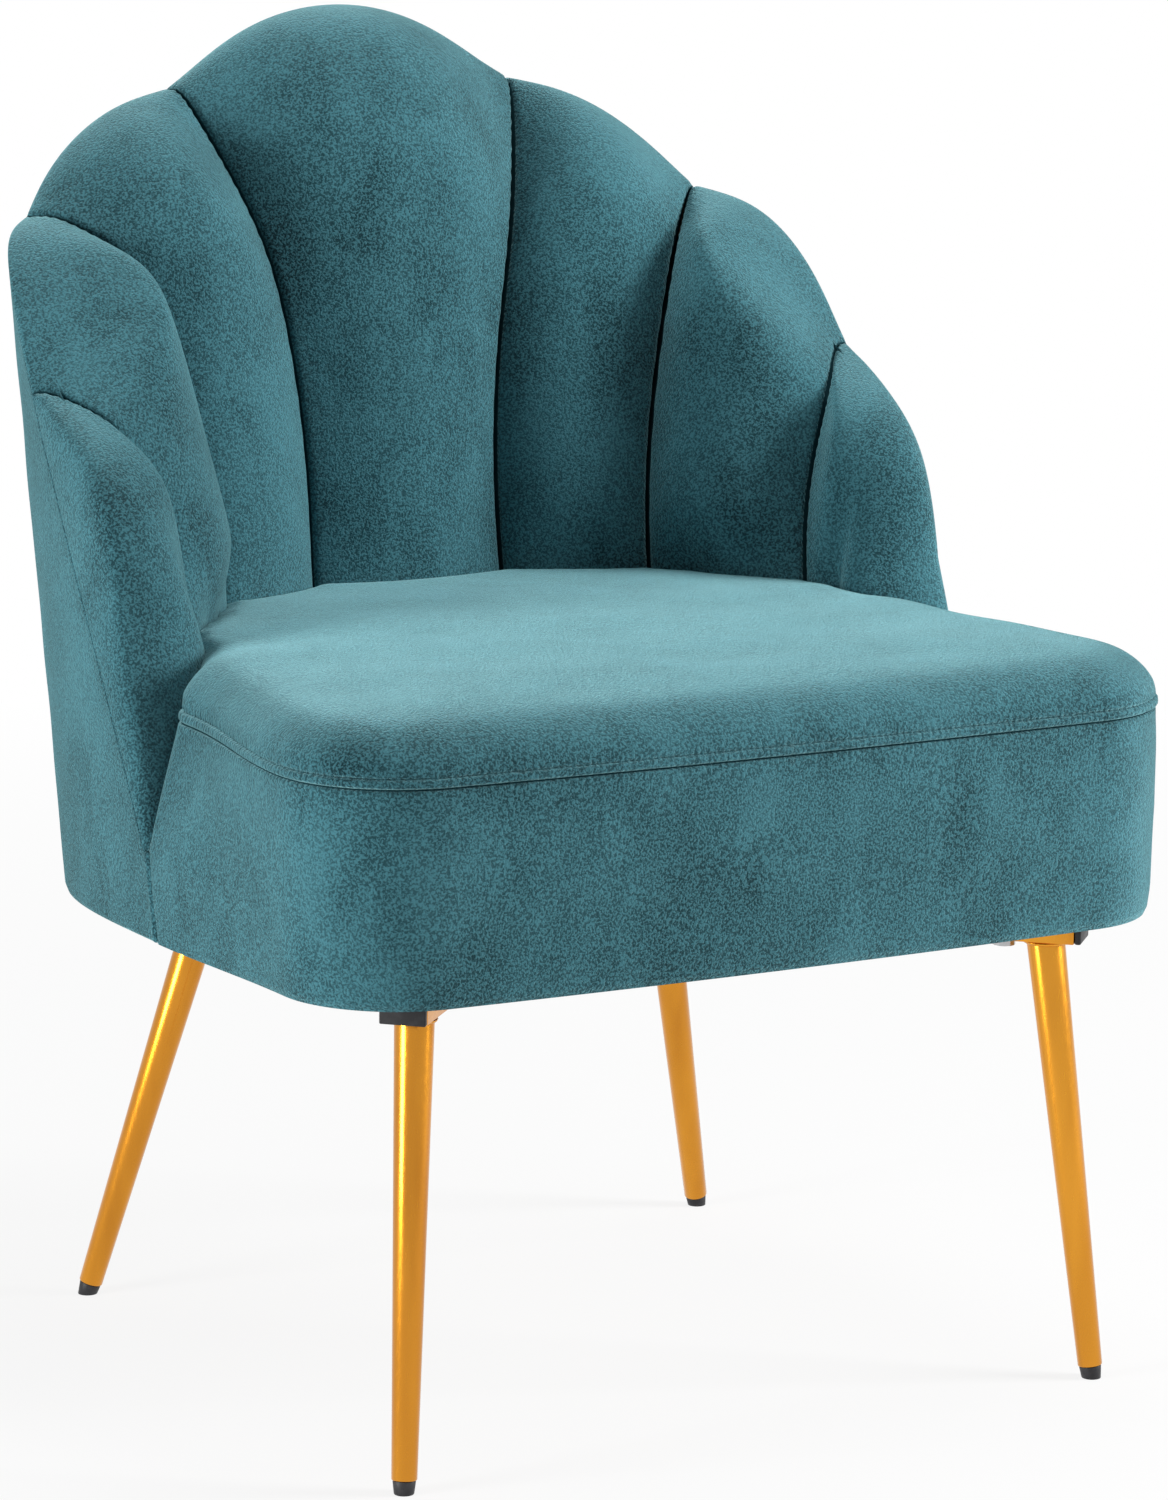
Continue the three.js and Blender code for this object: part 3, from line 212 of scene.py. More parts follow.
gold, shader = new_finish("gold_lacquer", 0.24, metallic=1.0)
tree = gold.node_tree
cloud, scratches = marks(tree, object_place(tree, (1, 1, 0.12)), 30.0, 900.0)
cloudy = ranged(tree, cloud, 0.35, 0.7)
tree.links.new(blend_colours(tree, cloudy, gold_colour, gold_dark_colour), shader.inputs[0])
tree.links.new(ranged(tree, scratches, 0.3, 0.8, 0.19, 0.30), shader.inputs["Roughness"])
tree.links.new(bump(tree, scratches, 0.00002, 0.4), shader.inputs["Normal"])
shader.inputs["Coat Weight"].default_value = 0.35
shader.inputs["Coat Roughness"].default_value = 0.12

plastic_colour = (0.012, 0.012, 0.014, 1)
plastic_worn_colour = (0.035, 0.035, 0.038, 1)
plastic, shader = new_finish("black_plastic", 0.45, specular=0.4)
tree = plastic.node_tree
cloud, scratches = marks(tree, object_place(tree), 120.0, 1800.0)
worn = ranged(tree, cloud, 0.45, 0.75)
tree.links.new(blend_colours(tree, worn, plastic_colour, plastic_worn_colour), shader.inputs[0])
tree.links.new(ranged(tree, scratches, 0.3, 0.7, 0.38, 0.55), shader.inputs["Roughness"])
tree.links.new(bump(tree, scratches, 0.00005, 0.5), shader.inputs["Normal"])


def deselect_all():
    if bpy.context.object and bpy.context.object.mode != "OBJECT":
        bpy.ops.object.mode_set(mode="OBJECT")
    bpy.ops.object.select_all(action="DESELECT")


def work_on(piece):
    deselect_all()
    piece.select_set(True)
    bpy.context.view_layer.objects.active = piece


def finish_piece(piece, finish, replaced=(), smooth_angle=35):
    """Bakes the place into the mesh, smooths it, and gives it its material and body."""
    work_on(piece)
    bpy.ops.object.transform_apply(location=True, rotation=True, scale=True)
    bpy.ops.object.shade_smooth_by_angle(angle=math.radians(smooth_angle))
    piece.data.materials.clear()
    piece.data.materials.append(finish)
    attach(piece, "root")
    if replaced:
        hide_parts(*replaced)


sharp_angle = 40
double_reach = 0.00001


def round_edges(piece, width, segments=3):
    """Rounds the sharp edges of the piece that is worked on."""
    rounding = piece.modifiers.new("rounding", "BEVEL")
    rounding.width = width
    rounding.segments = segments
    rounding.limit_method = "ANGLE"
    rounding.angle_limit = math.radians(sharp_angle)
    bpy.ops.object.modifier_apply(modifier=rounding.name)


def rounded_copy(node, width):
    """A copy of a CAD node with its loose triangles merged and its sharp edges rounded."""
    deselect_all()
    piece = frame["nodes"][node].copy()
    piece.data = piece.data.copy()
    piece.name = node + "_rounded"
    piece.parent = None
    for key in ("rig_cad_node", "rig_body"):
        if key in piece:
            del piece[key]
    bpy.context.scene.collection.objects.link(piece)
    work_on(piece)
    bpy.ops.object.mode_set(mode="EDIT")
    bpy.ops.mesh.select_all(action="SELECT")
    bpy.ops.mesh.remove_doubles(threshold=double_reach)
    bpy.ops.mesh.dissolve_limited(angle_limit=math.radians(1))
    bpy.ops.object.mode_set(mode="OBJECT")
    round_edges(piece, width)
    return piece


tube_corner_radius = 0.0007
for node in ("base_tube_long", "base_tube_half_front", "base_tube_half_rear"):
    tube = rounded_copy(node, tube_corner_radius)
    finish_piece(tube, gold, replaced=[node])

leg_names = ("front_left", "front_right", "rear_left", "rear_right")
plug_corner_radius = 0.0012
for name in leg_names:
    node = "tube_plug_" + name
    plug = rounded_copy(node, plug_corner_radius)
    finish_piece(plug, plastic, replaced=[node])


# Legs. Four tapered round steel tubes, mitred at the top and welded under the tubes with a
# small bead, in the same gold. A black plastic glide is pushed into each end.

leg_sides = 72
leg_top_radius = 0.0119
leg_toe_radius = 0.0075
leg_top_over = 0.0119
glide_height = 0.008
glide_gap = 0.0003
glide_rim_radius = 0.0069
glide_sole_radius = 0.0058
bead_radius = 0.0013
bead_out_share = 0.3
bead_steps_round = 96
bead_steps_across = 12
bead_smooth_angle = 60
bead_ripples = ((0.012, 23, 0), (0.008, 37, 1))
tube_base_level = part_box("base_tube_long")[0].z
leg_rim_rounding = 0.0008
lean_reach = 0.0015
low_band = 0.0035
top_band = 0.0002


def leg_line(name):
    """The leg's centre at the floor and where it meets the tube, from its CAD node."""
    corners = [v.co.copy() for v in frame["nodes"]["leg_" + name].data.vertices]
    top_level = max(p.z for p in corners)
    low_level = min(p.z for p in corners) + lean_reach
    middles = []
    for level, band in ((low_level, low_band), (top_level, top_band)):
        near = [p for p in corners if abs(p.z - level) < band]
        lows = Vector([min(p[i] for p in near) for i in range(3)])
        highs = Vector([max(p[i] for p in near) for i in range(3)])
        middles.append((lows + highs) / 2)
    low, top = middles
    along = (top - low).normalized()
    toe = low - along * (low.z / along.z)
    top = low + along * ((tube_base_level - low.z) / along.z)
    return toe, top


def cut_flat(piece, level, keep_below):
    """Cuts a piece along a level plane, and closes the cut."""
    work_on(piece)
    bpy.ops.object.mode_set(mode="EDIT")
    bpy.ops.mesh.select_all(action="SELECT")
    bpy.ops.mesh.bisect(
        plane_co=(0, 0, level),
        plane_no=(0, 0, 1),
        use_fill=True,
        clear_outer=keep_below,
        clear_inner=not keep_below,
    )
    bpy.ops.object.mode_set(mode="OBJECT")


def leg_radius(along, length):
    """The leg's radius at a distance up from the floor."""
    return leg_toe_radius + (leg_top_radius - leg_toe_radius) * along / length


def tapered(name, low, high, low_radius, high_radius, lean):
    """A tapered round piece between two places."""
    deselect_all()
    bpy.ops.mesh.primitive_cone_add(
        vertices=leg_sides,
        radius1=low_radius,
        radius2=high_radius,
        depth=(high - low).length,
        location=(low + high) / 2,
        rotation=lean,
    )
    piece = bpy.context.object
    piece.name = name
    bpy.ops.object.transform_apply(location=True, rotation=True, scale=True)
    return piece


def weld_bead(name, top, run):
    """A thin, slightly uneven ring of weld where the leaning leg meets the tube."""
    deselect_all()
    bpy.ops.mesh.primitive_torus_add(
        major_segments=bead_steps_round,
        minor_segments=bead_steps_across,
        major_radius=leg_top_radius + bead_radius * bead_out_share,
        minor_radius=bead_radius,
        location=(top.x, top.y, tube_base_level - bead_radius),
    )
    bead = bpy.context.object
    bead.name = name
    stretch = run.length / run.z
    heading = math.atan2(run.y, run.x)
    for vertex in bead.data.vertices:
        around = math.atan2(vertex.co.y, vertex.co.x)
        ripple = 1
        for size, count, phase in bead_ripples:
            ripple += size * math.sin(count * around + phase)
        vertex.co.x *= ripple
        vertex.co.y *= ripple
        along = vertex.co.x * math.cos(heading) + vertex.co.y * math.sin(heading)
        vertex.co.x += along * (stretch - 1) * math.cos(heading)
        vertex.co.y += along * (stretch - 1) * math.sin(heading)
        vertex.co.z = min(vertex.co.z, bead_radius - glide_gap)
    return bead


for name in leg_names:
    toe, top = leg_line(name)
    run = top - toe
    length = run.length
    upwards = run.normalized()
    lean = run.to_track_quat("Z", "Y").to_euler()

    start = toe + upwards * glide_height
    end = top + upwards * leg_top_over
    start_radius = leg_radius(glide_height, length)
    end_radius = leg_radius(length + leg_top_over, length)
    leg = tapered("leg_tube_" + name, start, end, start_radius, end_radius, lean)
    cut_flat(leg, tube_base_level - glide_gap, keep_below=True)
    round_edges(leg, leg_rim_rounding)
    finish_piece(leg, gold, replaced=["leg_" + name])

    bead = weld_bead("weld_bead_" + name, top, run)
    finish_piece(bead, gold, smooth_angle=bead_smooth_angle)

    foot = toe - upwards * lean_reach
    rim = toe + upwards * (glide_height - glide_gap)
    glide = tapered("glide_cap_" + name, foot, rim, glide_sole_radius, glide_rim_radius, lean)
    cut_flat(glide, 0.0, keep_below=False)
    round_edges(glide, leg_rim_rounding / 2, segments=2)
    finish_piece(glide, plastic, replaced=["glide_" + name])


# Bolts, tee nuts and screws. Zinc plated steel: a bolt and a tee nut beside each leg hold
# the base to the frame, and countersunk screws hold the plywood to the rails.

zinc, shader = new_finish("zinc_plate", 0.35, metallic=1.0)
tree = zinc.node_tree
cloud, scratches = marks(tree, object_place(tree), 200.0, 2500.0)
zinc_colours = ((0.42, 0.43, 0.45, 1), (0.62, 0.63, 0.64, 1))
tree.links.new(blend_colours(tree, cloud, *zinc_colours), shader.inputs[0])
tree.links.new(ranged(tree, scratches, 0.3, 0.7, 0.28, 0.48), shader.inputs["Roughness"])


def dress(prefixes, finish):
    """Gives CAD nodes that keep their shape a material."""
    for node, piece in frame["nodes"].items():
        if node.startswith(prefixes):
            piece.data.materials.clear()
            piece.data.materials.append(finish)


dress(("base_bolt_", "tee_nut_", "shell_screw_"), zinc)


# Seat frame. Pine rails and corner blocks, glued and screwed, inside the seat's foam, with
# the bent plywood back shell fixed round it.

def grain_group():
    """Wood grain: long bands with fine pores along the stretched axis."""
    tree, source, result = new_group("wood_grain", (), ("Bands", "Pores"))
    bands = add_node(
        tree,
        "ShaderNodeTexWave",
        {"Scale": 9.0, "Distortion": 6.0, "Detail": 3.0, "Detail Scale": 1.6},
    )
    pores = add_node(tree, "ShaderNodeTexNoise", {"Scale": 420.0, "Detail": 3.0})
    for node in (bands, pores):
        tree.links.new(source.outputs["Vector"], node.inputs["Vector"])
    tree.links.new(bands.outputs["Fac"], result.inputs["Bands"])
    tree.links.new(pores.outputs[0], result.inputs["Pores"])
    return tree


wood_grain = grain_group()


pore_shade = 0.45


def wood_finish(name, colours, stretch):
    finish, shader = new_finish(name, 0.7, specular=0.25)
    tree = finish.node_tree
    node = add_node(tree, "ShaderNodeGroup", {"node_tree": wood_grain})
    tree.links.new(object_place(tree, stretch), node.inputs["Vector"])
    grain = blend_colours(tree, node.outputs["Bands"], *colours)
    pores = ranged(tree, node.outputs["Pores"], 0.55, 0.75)
    dark = tuple(c * pore_shade for c in colours[1][:3]) + (1,)
    tree.links.new(blend_colours(tree, pores, grain, dark), shader.inputs[0])
    tree.links.new(bump(tree, node.outputs["Pores"], 0.0002, 0.4), shader.inputs["Normal"])
    return finish


pine_colours = ((0.60, 0.40, 0.20, 1), (0.46, 0.27, 0.11, 1))
birch_colours = ((0.62, 0.45, 0.26, 1), (0.44, 0.28, 0.14, 1))
pine = wood_finish("pine", pine_colours, (1, 0.15, 1))
pine_cross = wood_finish("pine_cross", pine_colours, (0.15, 1, 1))
birch_ply = wood_finish("birch_plywood", birch_colours, (0.4, 0.4, 3))
dress(("side_rail_", "corner_block_"), pine)
dress(("front_rail", "rear_rail"), pine_cross)
dress(("back_shell",), birch_ply)


# Webbing and dust cover. Jute straps woven over and under each other carry the seat, and a
# black spun cloth is stapled under the frame.

jute_colours = ((0.24, 0.16, 0.08, 1), (0.34, 0.24, 0.13, 1))
jute_frayed_colour = (0.15, 0.10, 0.05, 1)
spun_colours = ((0.008, 0.008, 0.009, 1), (0.035, 0.035, 0.037, 1))


def strap_finish():
    finish, shader = new_finish("jute_webbing", 0.92, specular=0.15)
    tree = finish.node_tree
    place = object_place(tree)
    weave = add_node(tree, "ShaderNodeTexChecker", {"Scale": 700.0}, {"Vector": place})
    fibres = noise(tree, place, 1500.0, 3.0)
    base = blend_colours(tree, weave.outputs["Fac"], *jute_colours)
    frayed = ranged(tree, fibres, 0.4, 0.8)
    tree.links.new(blend_colours(tree, frayed, base, jute_frayed_colour), shader.inputs[0])
    normal = bump(tree, weave.outputs["Fac"], 0.0003, 0.5)
    tree.links.new(bump(tree, fibres, 0.0002, 0.5, normal), shader.inputs["Normal"])
    return finish


def spun_cloth_finish():
    finish, shader = new_finish("black_spun_cloth", 0.95, specular=0.1)
    tree = finish.node_tree
    place = object_place(tree)
    fibres = noise(tree, place, 1300.0, 4.0, 1.5)
    dots = add_node(tree, "ShaderNodeTexVoronoi", {"Scale": 700.0}, {"Vector": place})
    dimple = ranged(tree, dots.outputs["Distance"], 0.0, 0.4)
    tree.links.new(blend_colours(tree, fibres, *spun_colours), shader.inputs[0])
    normal = bump(tree, dimple, 0.0002, 0.5)
    tree.links.new(bump(tree, fibres, 0.0002, 0.6, normal), shader.inputs["Normal"])
    return finish


dress(("webbing_",), strap_finish())
dress(("dust_cover",), spun_cloth_finish())


# Padded back. Seven foam channels under short teal velvet, sewn together along grooves and
# glued to the plywood. The outer ends of the seams gather the cloth into small puckers.

mm = 0.001
chair_height = 821
hem_height = 291.5
back_height = chair_height - hem_height
frame_shift = -64.864
shell_half_width = 300
shell_back_reach = 258
plan_exponent = 3.75
back_lean_share = 0.205
deck_height = 345.4
notch_girth_shares = [0.2552, 0.5259, 0.758]
notch_height_shares = [0.9065, 0.7696, 0.588]
rim_end_girth_shares = [0.184, 0.4987, 0.85]
rim_end_height_shares = [0.709, 0.7115, 0.545]
foot_girth_shares = [0.1457, 0.3566, 0.832]
foot_height_share = 0.3088
seam_bow_shares = [-0.0174, -0.0292, -0.032]
side_scallop_rise_shares = [0.0232, 0.0387]
scallop_skews = [0, -0.2, -0.3]
valley_share = 0.35
wing_shoulder_shares = (0.862, 0.547)
wing_brow_shares = (0.9838, 0.5203)
wing_front_shares = (0.9571, 0.3503)
wing_toe_girth_share = 0.996
edge_seam_bend_shares = [(0.835, 0.42), (0.94, 0.23)]
edge_seam_toe_share = 0.984
wing_blend_share = 0.25
seam_rim_depths = [66.5, 75, 48]
seam_foot_depths = [44.3, 82, 79]
seam_pull_share = 0.85
wing_depth = 68
rim_crowns = [14, 12, 22, 4]
foot_crowns = [20, 14, 22, 4]
crown_sharpness = 2.2
rim_edge_radius = 4
rim_nose_depth = 23
wing_seam_nose_depth = 9
wing_thinning = 13
wing_thin_share = 0.32
wing_thin_reach = 0.2
foot_tucks = [3, 6, 20, 3]
foot_tuck_top = 510
foot_tuck_run = 70
foot_tuck_reach = 45
wing_tuck_share = 0.5
wing_nose_depth = 14
wing_rim_drop = 34
wing_heel_rise = 20
wing_inner_shares = [(0.895, 0.53), (0.918, 0.46), (0.905, 0.375)]
rim_lip = 8
wing_lip_share = 0.55
pad_back = 15.6
wing_lip_depth = 2.7
scallop_lip_depth = 3.9
seam_gap = 0.2

# The channels and their seams are counted from the middle out: the wing is outside seam 3
wing = 3

# How finely the cloth is modelled
outer_steps = 10
inner_steps = 30
face_rows = 60
pad_half_columns = 34
curve_steps = 400
plan_steps = 6000
wing_column_power = 1.5
least_size = 1e-9

plan_turns = np.linspace(0, math.pi / 2, plan_steps + 1)
plan_x = shell_half_width * np.sin(plan_turns) ** (2 / plan_exponent)
plan_y = shell_back_reach * np.maximum(np.cos(plan_turns), 0) ** (2 / plan_exponent)
plan_girth = np.concatenate([[0], np.cumsum(np.hypot(np.diff(plan_x), np.diff(plan_y)))])
half_girth = plan_girth[-1]


def plan_at(girth):
    """Place and outward direction on the plan curve, at a distance round it."""
    side = np.where(girth < 0, -1.0, 1.0)
    along = np.minimum(np.abs(girth), half_girth)
    past = np.abs(girth) - along
    x = np.interp(along, plan_girth, plan_x)
    y = np.interp(along, plan_girth, plan_y)
    slope_x = (x / shell_half_width) ** (plan_exponent - 1) / shell_half_width
    slope_y = (y / shell_back_reach) ** (plan_exponent - 1) / shell_back_reach
    size = np.hypot(slope_x, slope_y)
    return side * x, y - past, side * slope_x / size, slope_y / size


def shell_point(girth, height, depth):
    """A point of the back at a distance round it, a height, and a depth in from outside."""
    girth, height, depth = np.broadcast_arrays(girth, height, depth)
    x, y, out_x, out_y = plan_at(np.asarray(girth, float))
    lean = back_lean_share * (height - hem_height)
    return np.stack([x - out_x * depth, y - out_y * depth + lean, height + 0.0 * x], -1)


def on_back(girth_share, height_share):
    return np.array([girth_share * half_girth, hem_height + height_share * back_height])


def seam_spots(girth_shares, height_shares):
    right = [on_back(g, h) for g, h in zip(girth_shares, height_shares)]
    return [right[0] * (-1, 1), *right]


def unit(vector):
    return vector / np.linalg.norm(vector)


def units(vectors):
    sizes = np.linalg.norm(vectors, axis=-1, keepdims=True)
    return vectors / np.maximum(sizes, least_size)


def inward_normal(start, end):
    return unit(np.array([end[1] - start[1], start[0] - end[0]]))


def mix(a, b, share):
    return a + (b - a) * share


def both_sides(values, side=1):
    return [values[0] * side, *values]


def ease(share):
    """A share that starts and ends softly."""
    return share * share * (3 - 2 * share)


notches = seam_spots(notch_girth_shares, notch_height_shares)
rim_ends = seam_spots(rim_end_girth_shares, rim_end_height_shares)
feet = seam_spots(foot_girth_shares, [foot_height_share] * 3)
bows = [share * half_girth for share in both_sides(seam_bow_shares, -1)]
rim_depths = both_sides(seam_rim_depths)
foot_depths = both_sides(seam_foot_depths)
scallop_rises = [chair_height - notches[1][1]]
scallop_rises += [share * back_height for share in side_scallop_rise_shares]
wing_toe = np.array([wing_toe_girth_share * half_girth, deck_height])
edge_toe = np.array([edge_seam_toe_share * half_girth, deck_height])


def across_rim(seam):
    """The inward direction across the rim at a seam."""
    line = [notches[wing] * (-1, 1), *notches, on_back(*wing_shoulder_shares)]
    before = inward_normal(line[seam], line[seam + 1])
    return unit(before + inward_normal(line[seam + 1], line[seam + 2]))


def seam_spot(seam, height):
    """Where the sewn line between two channels reaches a height, and how deep it lies."""
    run = (rim_ends[seam][1] - height) / (rim_ends[seam][1] - feet[seam][1])
    along = np.minimum(run, 1)[..., None]
    spot = mix(rim_ends[seam], feet[seam], along)
    spot[..., 0] += bows[seam] * 4 * along[..., 0] * (1 - along[..., 0])
    spot[..., 1] = height
    return spot, mix(rim_depths[seam], foot_depths[seam], along[..., 0])


def spot_down(seam, down):
    return seam_spot(seam, mix(rim_ends[seam][1], deck_height, down))[0]


def seam_in_space(seam, down):
    spot, depth = seam_spot(seam, mix(rim_ends[seam][1], deck_height, down))
    return shell_point(spot[..., 0], spot[..., 1], depth)


def crown_at(share):
    """How full a channel is across its width: 0 at its seams, 1 in the middle."""
    return 1 - min(abs(2 * share - 1), 1) ** crown_sharpness


def bezier(a, b, c, d):
    """Points along a cubic curve."""
    t = np.linspace(0, 1, curve_steps)[:, None]
    return (1 - t) ** 3 * a + 3 * (1 - t) ** 2 * t * b + 3 * (1 - t) * t**2 * c + t**3 * d


def runs_along(line):
    """The distance along a polyline to each of its points."""
    return np.concatenate([[0], np.cumsum(np.linalg.norm(np.diff(line, axis=0), axis=1))])


def point_along(line, share):
    """The point of a polyline at a share of its length."""
    runs = runs_along(line)
    return np.array([np.interp(share * runs[-1], runs, line[:, i]) for i in range(2)])


wing_front = on_back(*wing_front_shares)
wing_heel = np.array([wing_toe[0] - wing_rim_drop, deck_height + wing_heel_rise])
wing_bends = [on_back(*wing_shoulder_shares), on_back(*wing_brow_shares)]
wing_nose_line = np.vstack([bezier(notches[wing], *wing_bends, wing_front), wing_toe])
edge_bends = [on_back(*shares) for shares in edge_seam_bend_shares]
wing_edge_line = bezier(notches[wing], *edge_bends, edge_toe)
inner_bends = [on_back(*shares) for shares in wing_inner_shares]
wing_inner_line = np.vstack([bezier(rim_ends[wing], *inner_bends), wing_heel])


def section(edge, nose, lip, lip_depth, face, back_spot, grow, nose_depth, pull):
    """One section over the rim: its front points, and those against the plywood."""
    turns = np.linspace(0, math.pi / 2, outer_steps, endpoint=False)[:, None]
    spots = mix(edge, nose, np.sin(turns))
    outer = shell_point(
        spots[:, 0], spots[:, 1], nose_depth * (1 - np.cos(turns[:, 0])) - grow
    )
    top = shell_point(nose[0], nose[1], nose_depth)
    _, _, out_x, out_y = plan_at(nose[0])
    down = np.linspace(0, 1, face_rows + 1)
    face_points = face(down)
    run = face_points[0] - top
    through = np.array([-out_x, -out_y, 0])
    through *= run @ through
    turns = np.linspace(0, math.pi / 2, inner_steps + 1)[:, None]
    inner = top + through * np.sin(turns) + (run - through) * (1 - np.cos(turns))
    straight = top + run * np.linspace(0, 1, inner_steps + 1)[:, None]
    front = np.vstack([outer, mix(inner, straight, pull), face_points[1:]])
    lip_points = [shell_point(spot[0], spot[1], lip_depth) for spot in (edge, lip)]
    lips = mix(*lip_points, np.linspace(0, 1, outer_steps)[:, None])
    rim_shares = np.linspace(0, 1, inner_steps + 1)[:-1, None]
    behind_rim = mix(lip, back_spot(np.array([0.0]))[0], rim_shares)
    behind = np.vstack([behind_rim, back_spot(down)])
    back = shell_point(behind[:, 0], behind[:, 1], pad_back - 2 * grow)
    return edge, front, np.vstack([lips, back])


def scallop_section(scallop, share, grow=0.0):
    start, end = notches[scallop], notches[scallop + 1]
    outwards = -inward_normal(start, end)
    off = 2 * share - 1
    swell = (1 - off**2) * (1 - valley_share * off**4)
    rise = scallop_rises[scallop] * swell * (1 + scallop_skews[scallop] * off)
    nose = mix(start, end, share) + outwards * rise
    inward = unit(mix(across_rim(scallop), across_rim(scallop + 1), share))
    edge = nose + inward * (rim_edge_radius + grow)
    lip = edge + inward * rim_lip
    nose = nose - inward * grow

    def face(down):
        left = seam_in_space(scallop, down)
        right = seam_in_space(scallop + 1, down)
        chord = right - left
        inwards = units(np.stack([chord[:, 1], -chord[:, 0], 0 * chord[:, 0]], -1))
        crown = mix(rim_crowns[scallop], foot_crowns[scallop], down) * crown_at(share)
        point = mix(left, right, share) + inwards * (crown + grow)[:, None]
        point[:, 2] += rise * outwards[1] * (1 - down)
        return point

    def back_spot(down):
        return mix(spot_down(scallop, down), spot_down(scallop + 1, down), share)

    pull = seam_pull_share * (1 - crown_at(share))
    nose_depth = rim_nose_depth
    if scallop == wing - 1:
        nose_depth = mix(rim_nose_depth, wing_seam_nose_depth, ease(share))
    return section(
        edge, nose, lip, scallop_lip_depth, face, back_spot, grow, nose_depth, pull
    )


def wing_section(share, grow=0.0):
    open_share = min(share / wing_blend_share, 1)
    blend = ease(open_share)
    seam_inward = across_rim(wing)
    nose = point_along(wing_nose_line, share)
    edge = point_along(wing_edge_line, share) + seam_inward * rim_edge_radius * (1 - blend)
    lip_at_notch = edge + seam_inward * rim_lip
    lip = mix(lip_at_notch, mix(nose, edge, wing_lip_share), blend)
    inner = point_along(wing_inner_line, share)
    inwards = unit(inner - nose)
    nose = nose - inwards * grow
    lip = lip + inwards * grow
    crown = rim_crowns[wing] * (1 - (1 - open_share) ** crown_sharpness) + grow
    off = (share - wing_thin_share) / wing_thin_reach
    thinner = wing_thinning * math.exp(-(off**2))
    rim_depth = mix(rim_depths[wing], wing_depth - thinner, blend) + crown
    foot_depth = mix(foot_depths[wing], wing_depth, blend) + crown
    front_foot = np.array([wing_heel[0], deck_height])
    back_foot = mix(seam_spot(wing, np.array([deck_height]))[0][0], front_foot, share)
    rim_end = shell_point(inner[0], inner[1], rim_depth)
    foot = shell_point(back_foot[0], back_foot[1], foot_depth)
    ends = [seam_in_space(wing, np.array([down]))[0] for down in (0.0, 1.0)]
    spots = [spot_down(wing, np.array([down]))[0] for down in (0.0, 1.0)]

    def face(down):
        bow = seam_in_space(wing, down) - mix(ends[0], ends[1], down[:, None])
        return mix(rim_end, foot, down[:, None]) + bow * (1 - share) ** 2

    def back_spot(down):
        bow = spot_down(wing, down) - mix(spots[0], spots[1], down[:, None])
        return mix(inner, back_foot, down[:, None]) + bow * (1 - share) ** 2

    return section(
        edge,
        nose,
        lip,
        mix(scallop_lip_depth, wing_lip_depth, blend),
        face,
        back_spot,
        grow,
        mix(wing_seam_nose_depth, wing_nose_depth, blend),
        seam_pull_share * (1 - open_share) ** crown_sharpness,
    )


def pad_shares(channel):
    """Where the columns of a channel stand across its width, close together at its seams."""
    if channel < wing:
        width = np.linalg.norm(notches[channel + 1] - notches[channel])
        inset = seam_gap / width
        off = np.sin(np.linspace(-math.pi / 2, math.pi / 2, 2 * pad_half_columns + 1))
        return inset + (1 - 2 * inset) * (off + 1) / 2
    start = seam_gap / half_girth
    columns = np.linspace(0, 1, 3 * pad_half_columns + 1)
    return start + (1 - start) * columns**wing_column_power


rim_rounds = 60
wing_rim_rounds = 160
rounding_start = 6
rounding_ramp = 18
rounding_end = 4


def smoothed_rows(grid, rounds):
    """Rounds the fold of each section's line where the rim turns into the face."""
    rows = grid.shape[0]
    grid = grid.copy()
    weight = np.clip((np.arange(rows) - rounding_start) / rounding_ramp, 0, 1)
    weight *= np.clip((rows - 1 - np.arange(rows)) / rounding_end, 0, 1)
    for _ in range(rounds):
        middle = (grid[:-2] + 2 * grid[1:-1] + grid[2:]) / 4
        grid[1:-1] = mix(grid[1:-1], middle, weight[1:-1, None, None])
    return grid


def grid_normals(grid):
    down = np.gradient(grid, axis=0)
    across = np.gradient(grid, axis=1)
    return units(np.cross(down, across))


# Pace, cross pace and phase of the slow waves of the foam's fullness
fullness_waves = [
    (0.031, 0.0, 0.7),
    (0.023, 0.017, 2.1),
    (0.011, 0.041, 4.4),
    (0.052, 0.021, 1.3),
]


def fullness(points, amplitude):
    """A slow, uneven fullness of the foam, from a few long waves through space."""
    x, y, z = points[..., 0], points[..., 1], points[..., 2]
    total = np.zeros(points.shape[:-1])
    for pace, cross_pace, phase in fullness_waves:
        total += np.sin(pace * z + cross_pace * x + phase) * np.cos(pace * y - phase)
    return amplitude * total / len(fullness_waves)


# A hollow or swell is given by its depth and width, and its power where that isn't 2
pad_groove = (1.9, 1.9, 1.3)
groove_start = 5.0
pucker_depth = 0.5
pucker_pitch = 7.0
pucker_reach = 9.0
pucker_run = 260.0
pad_fullness = 1.6
fullness_reach = 25.0
rim_fade = 14.0
foot_fade = 20.0
beyond_seams = 99.0


def held(values):
    """Values held between 0 and 1."""
    return np.clip(values, 0, 1)


def dent(gap, depth, width, power=2):
    """A soft hollow or swell along a line, by the distance from the line."""
    return depth * np.exp(-((gap / width) ** power))


def pad_section(channel, share, grow):
    if channel == wing:
        return wing_section(share, grow)
    return scallop_section(channel, share, grow)


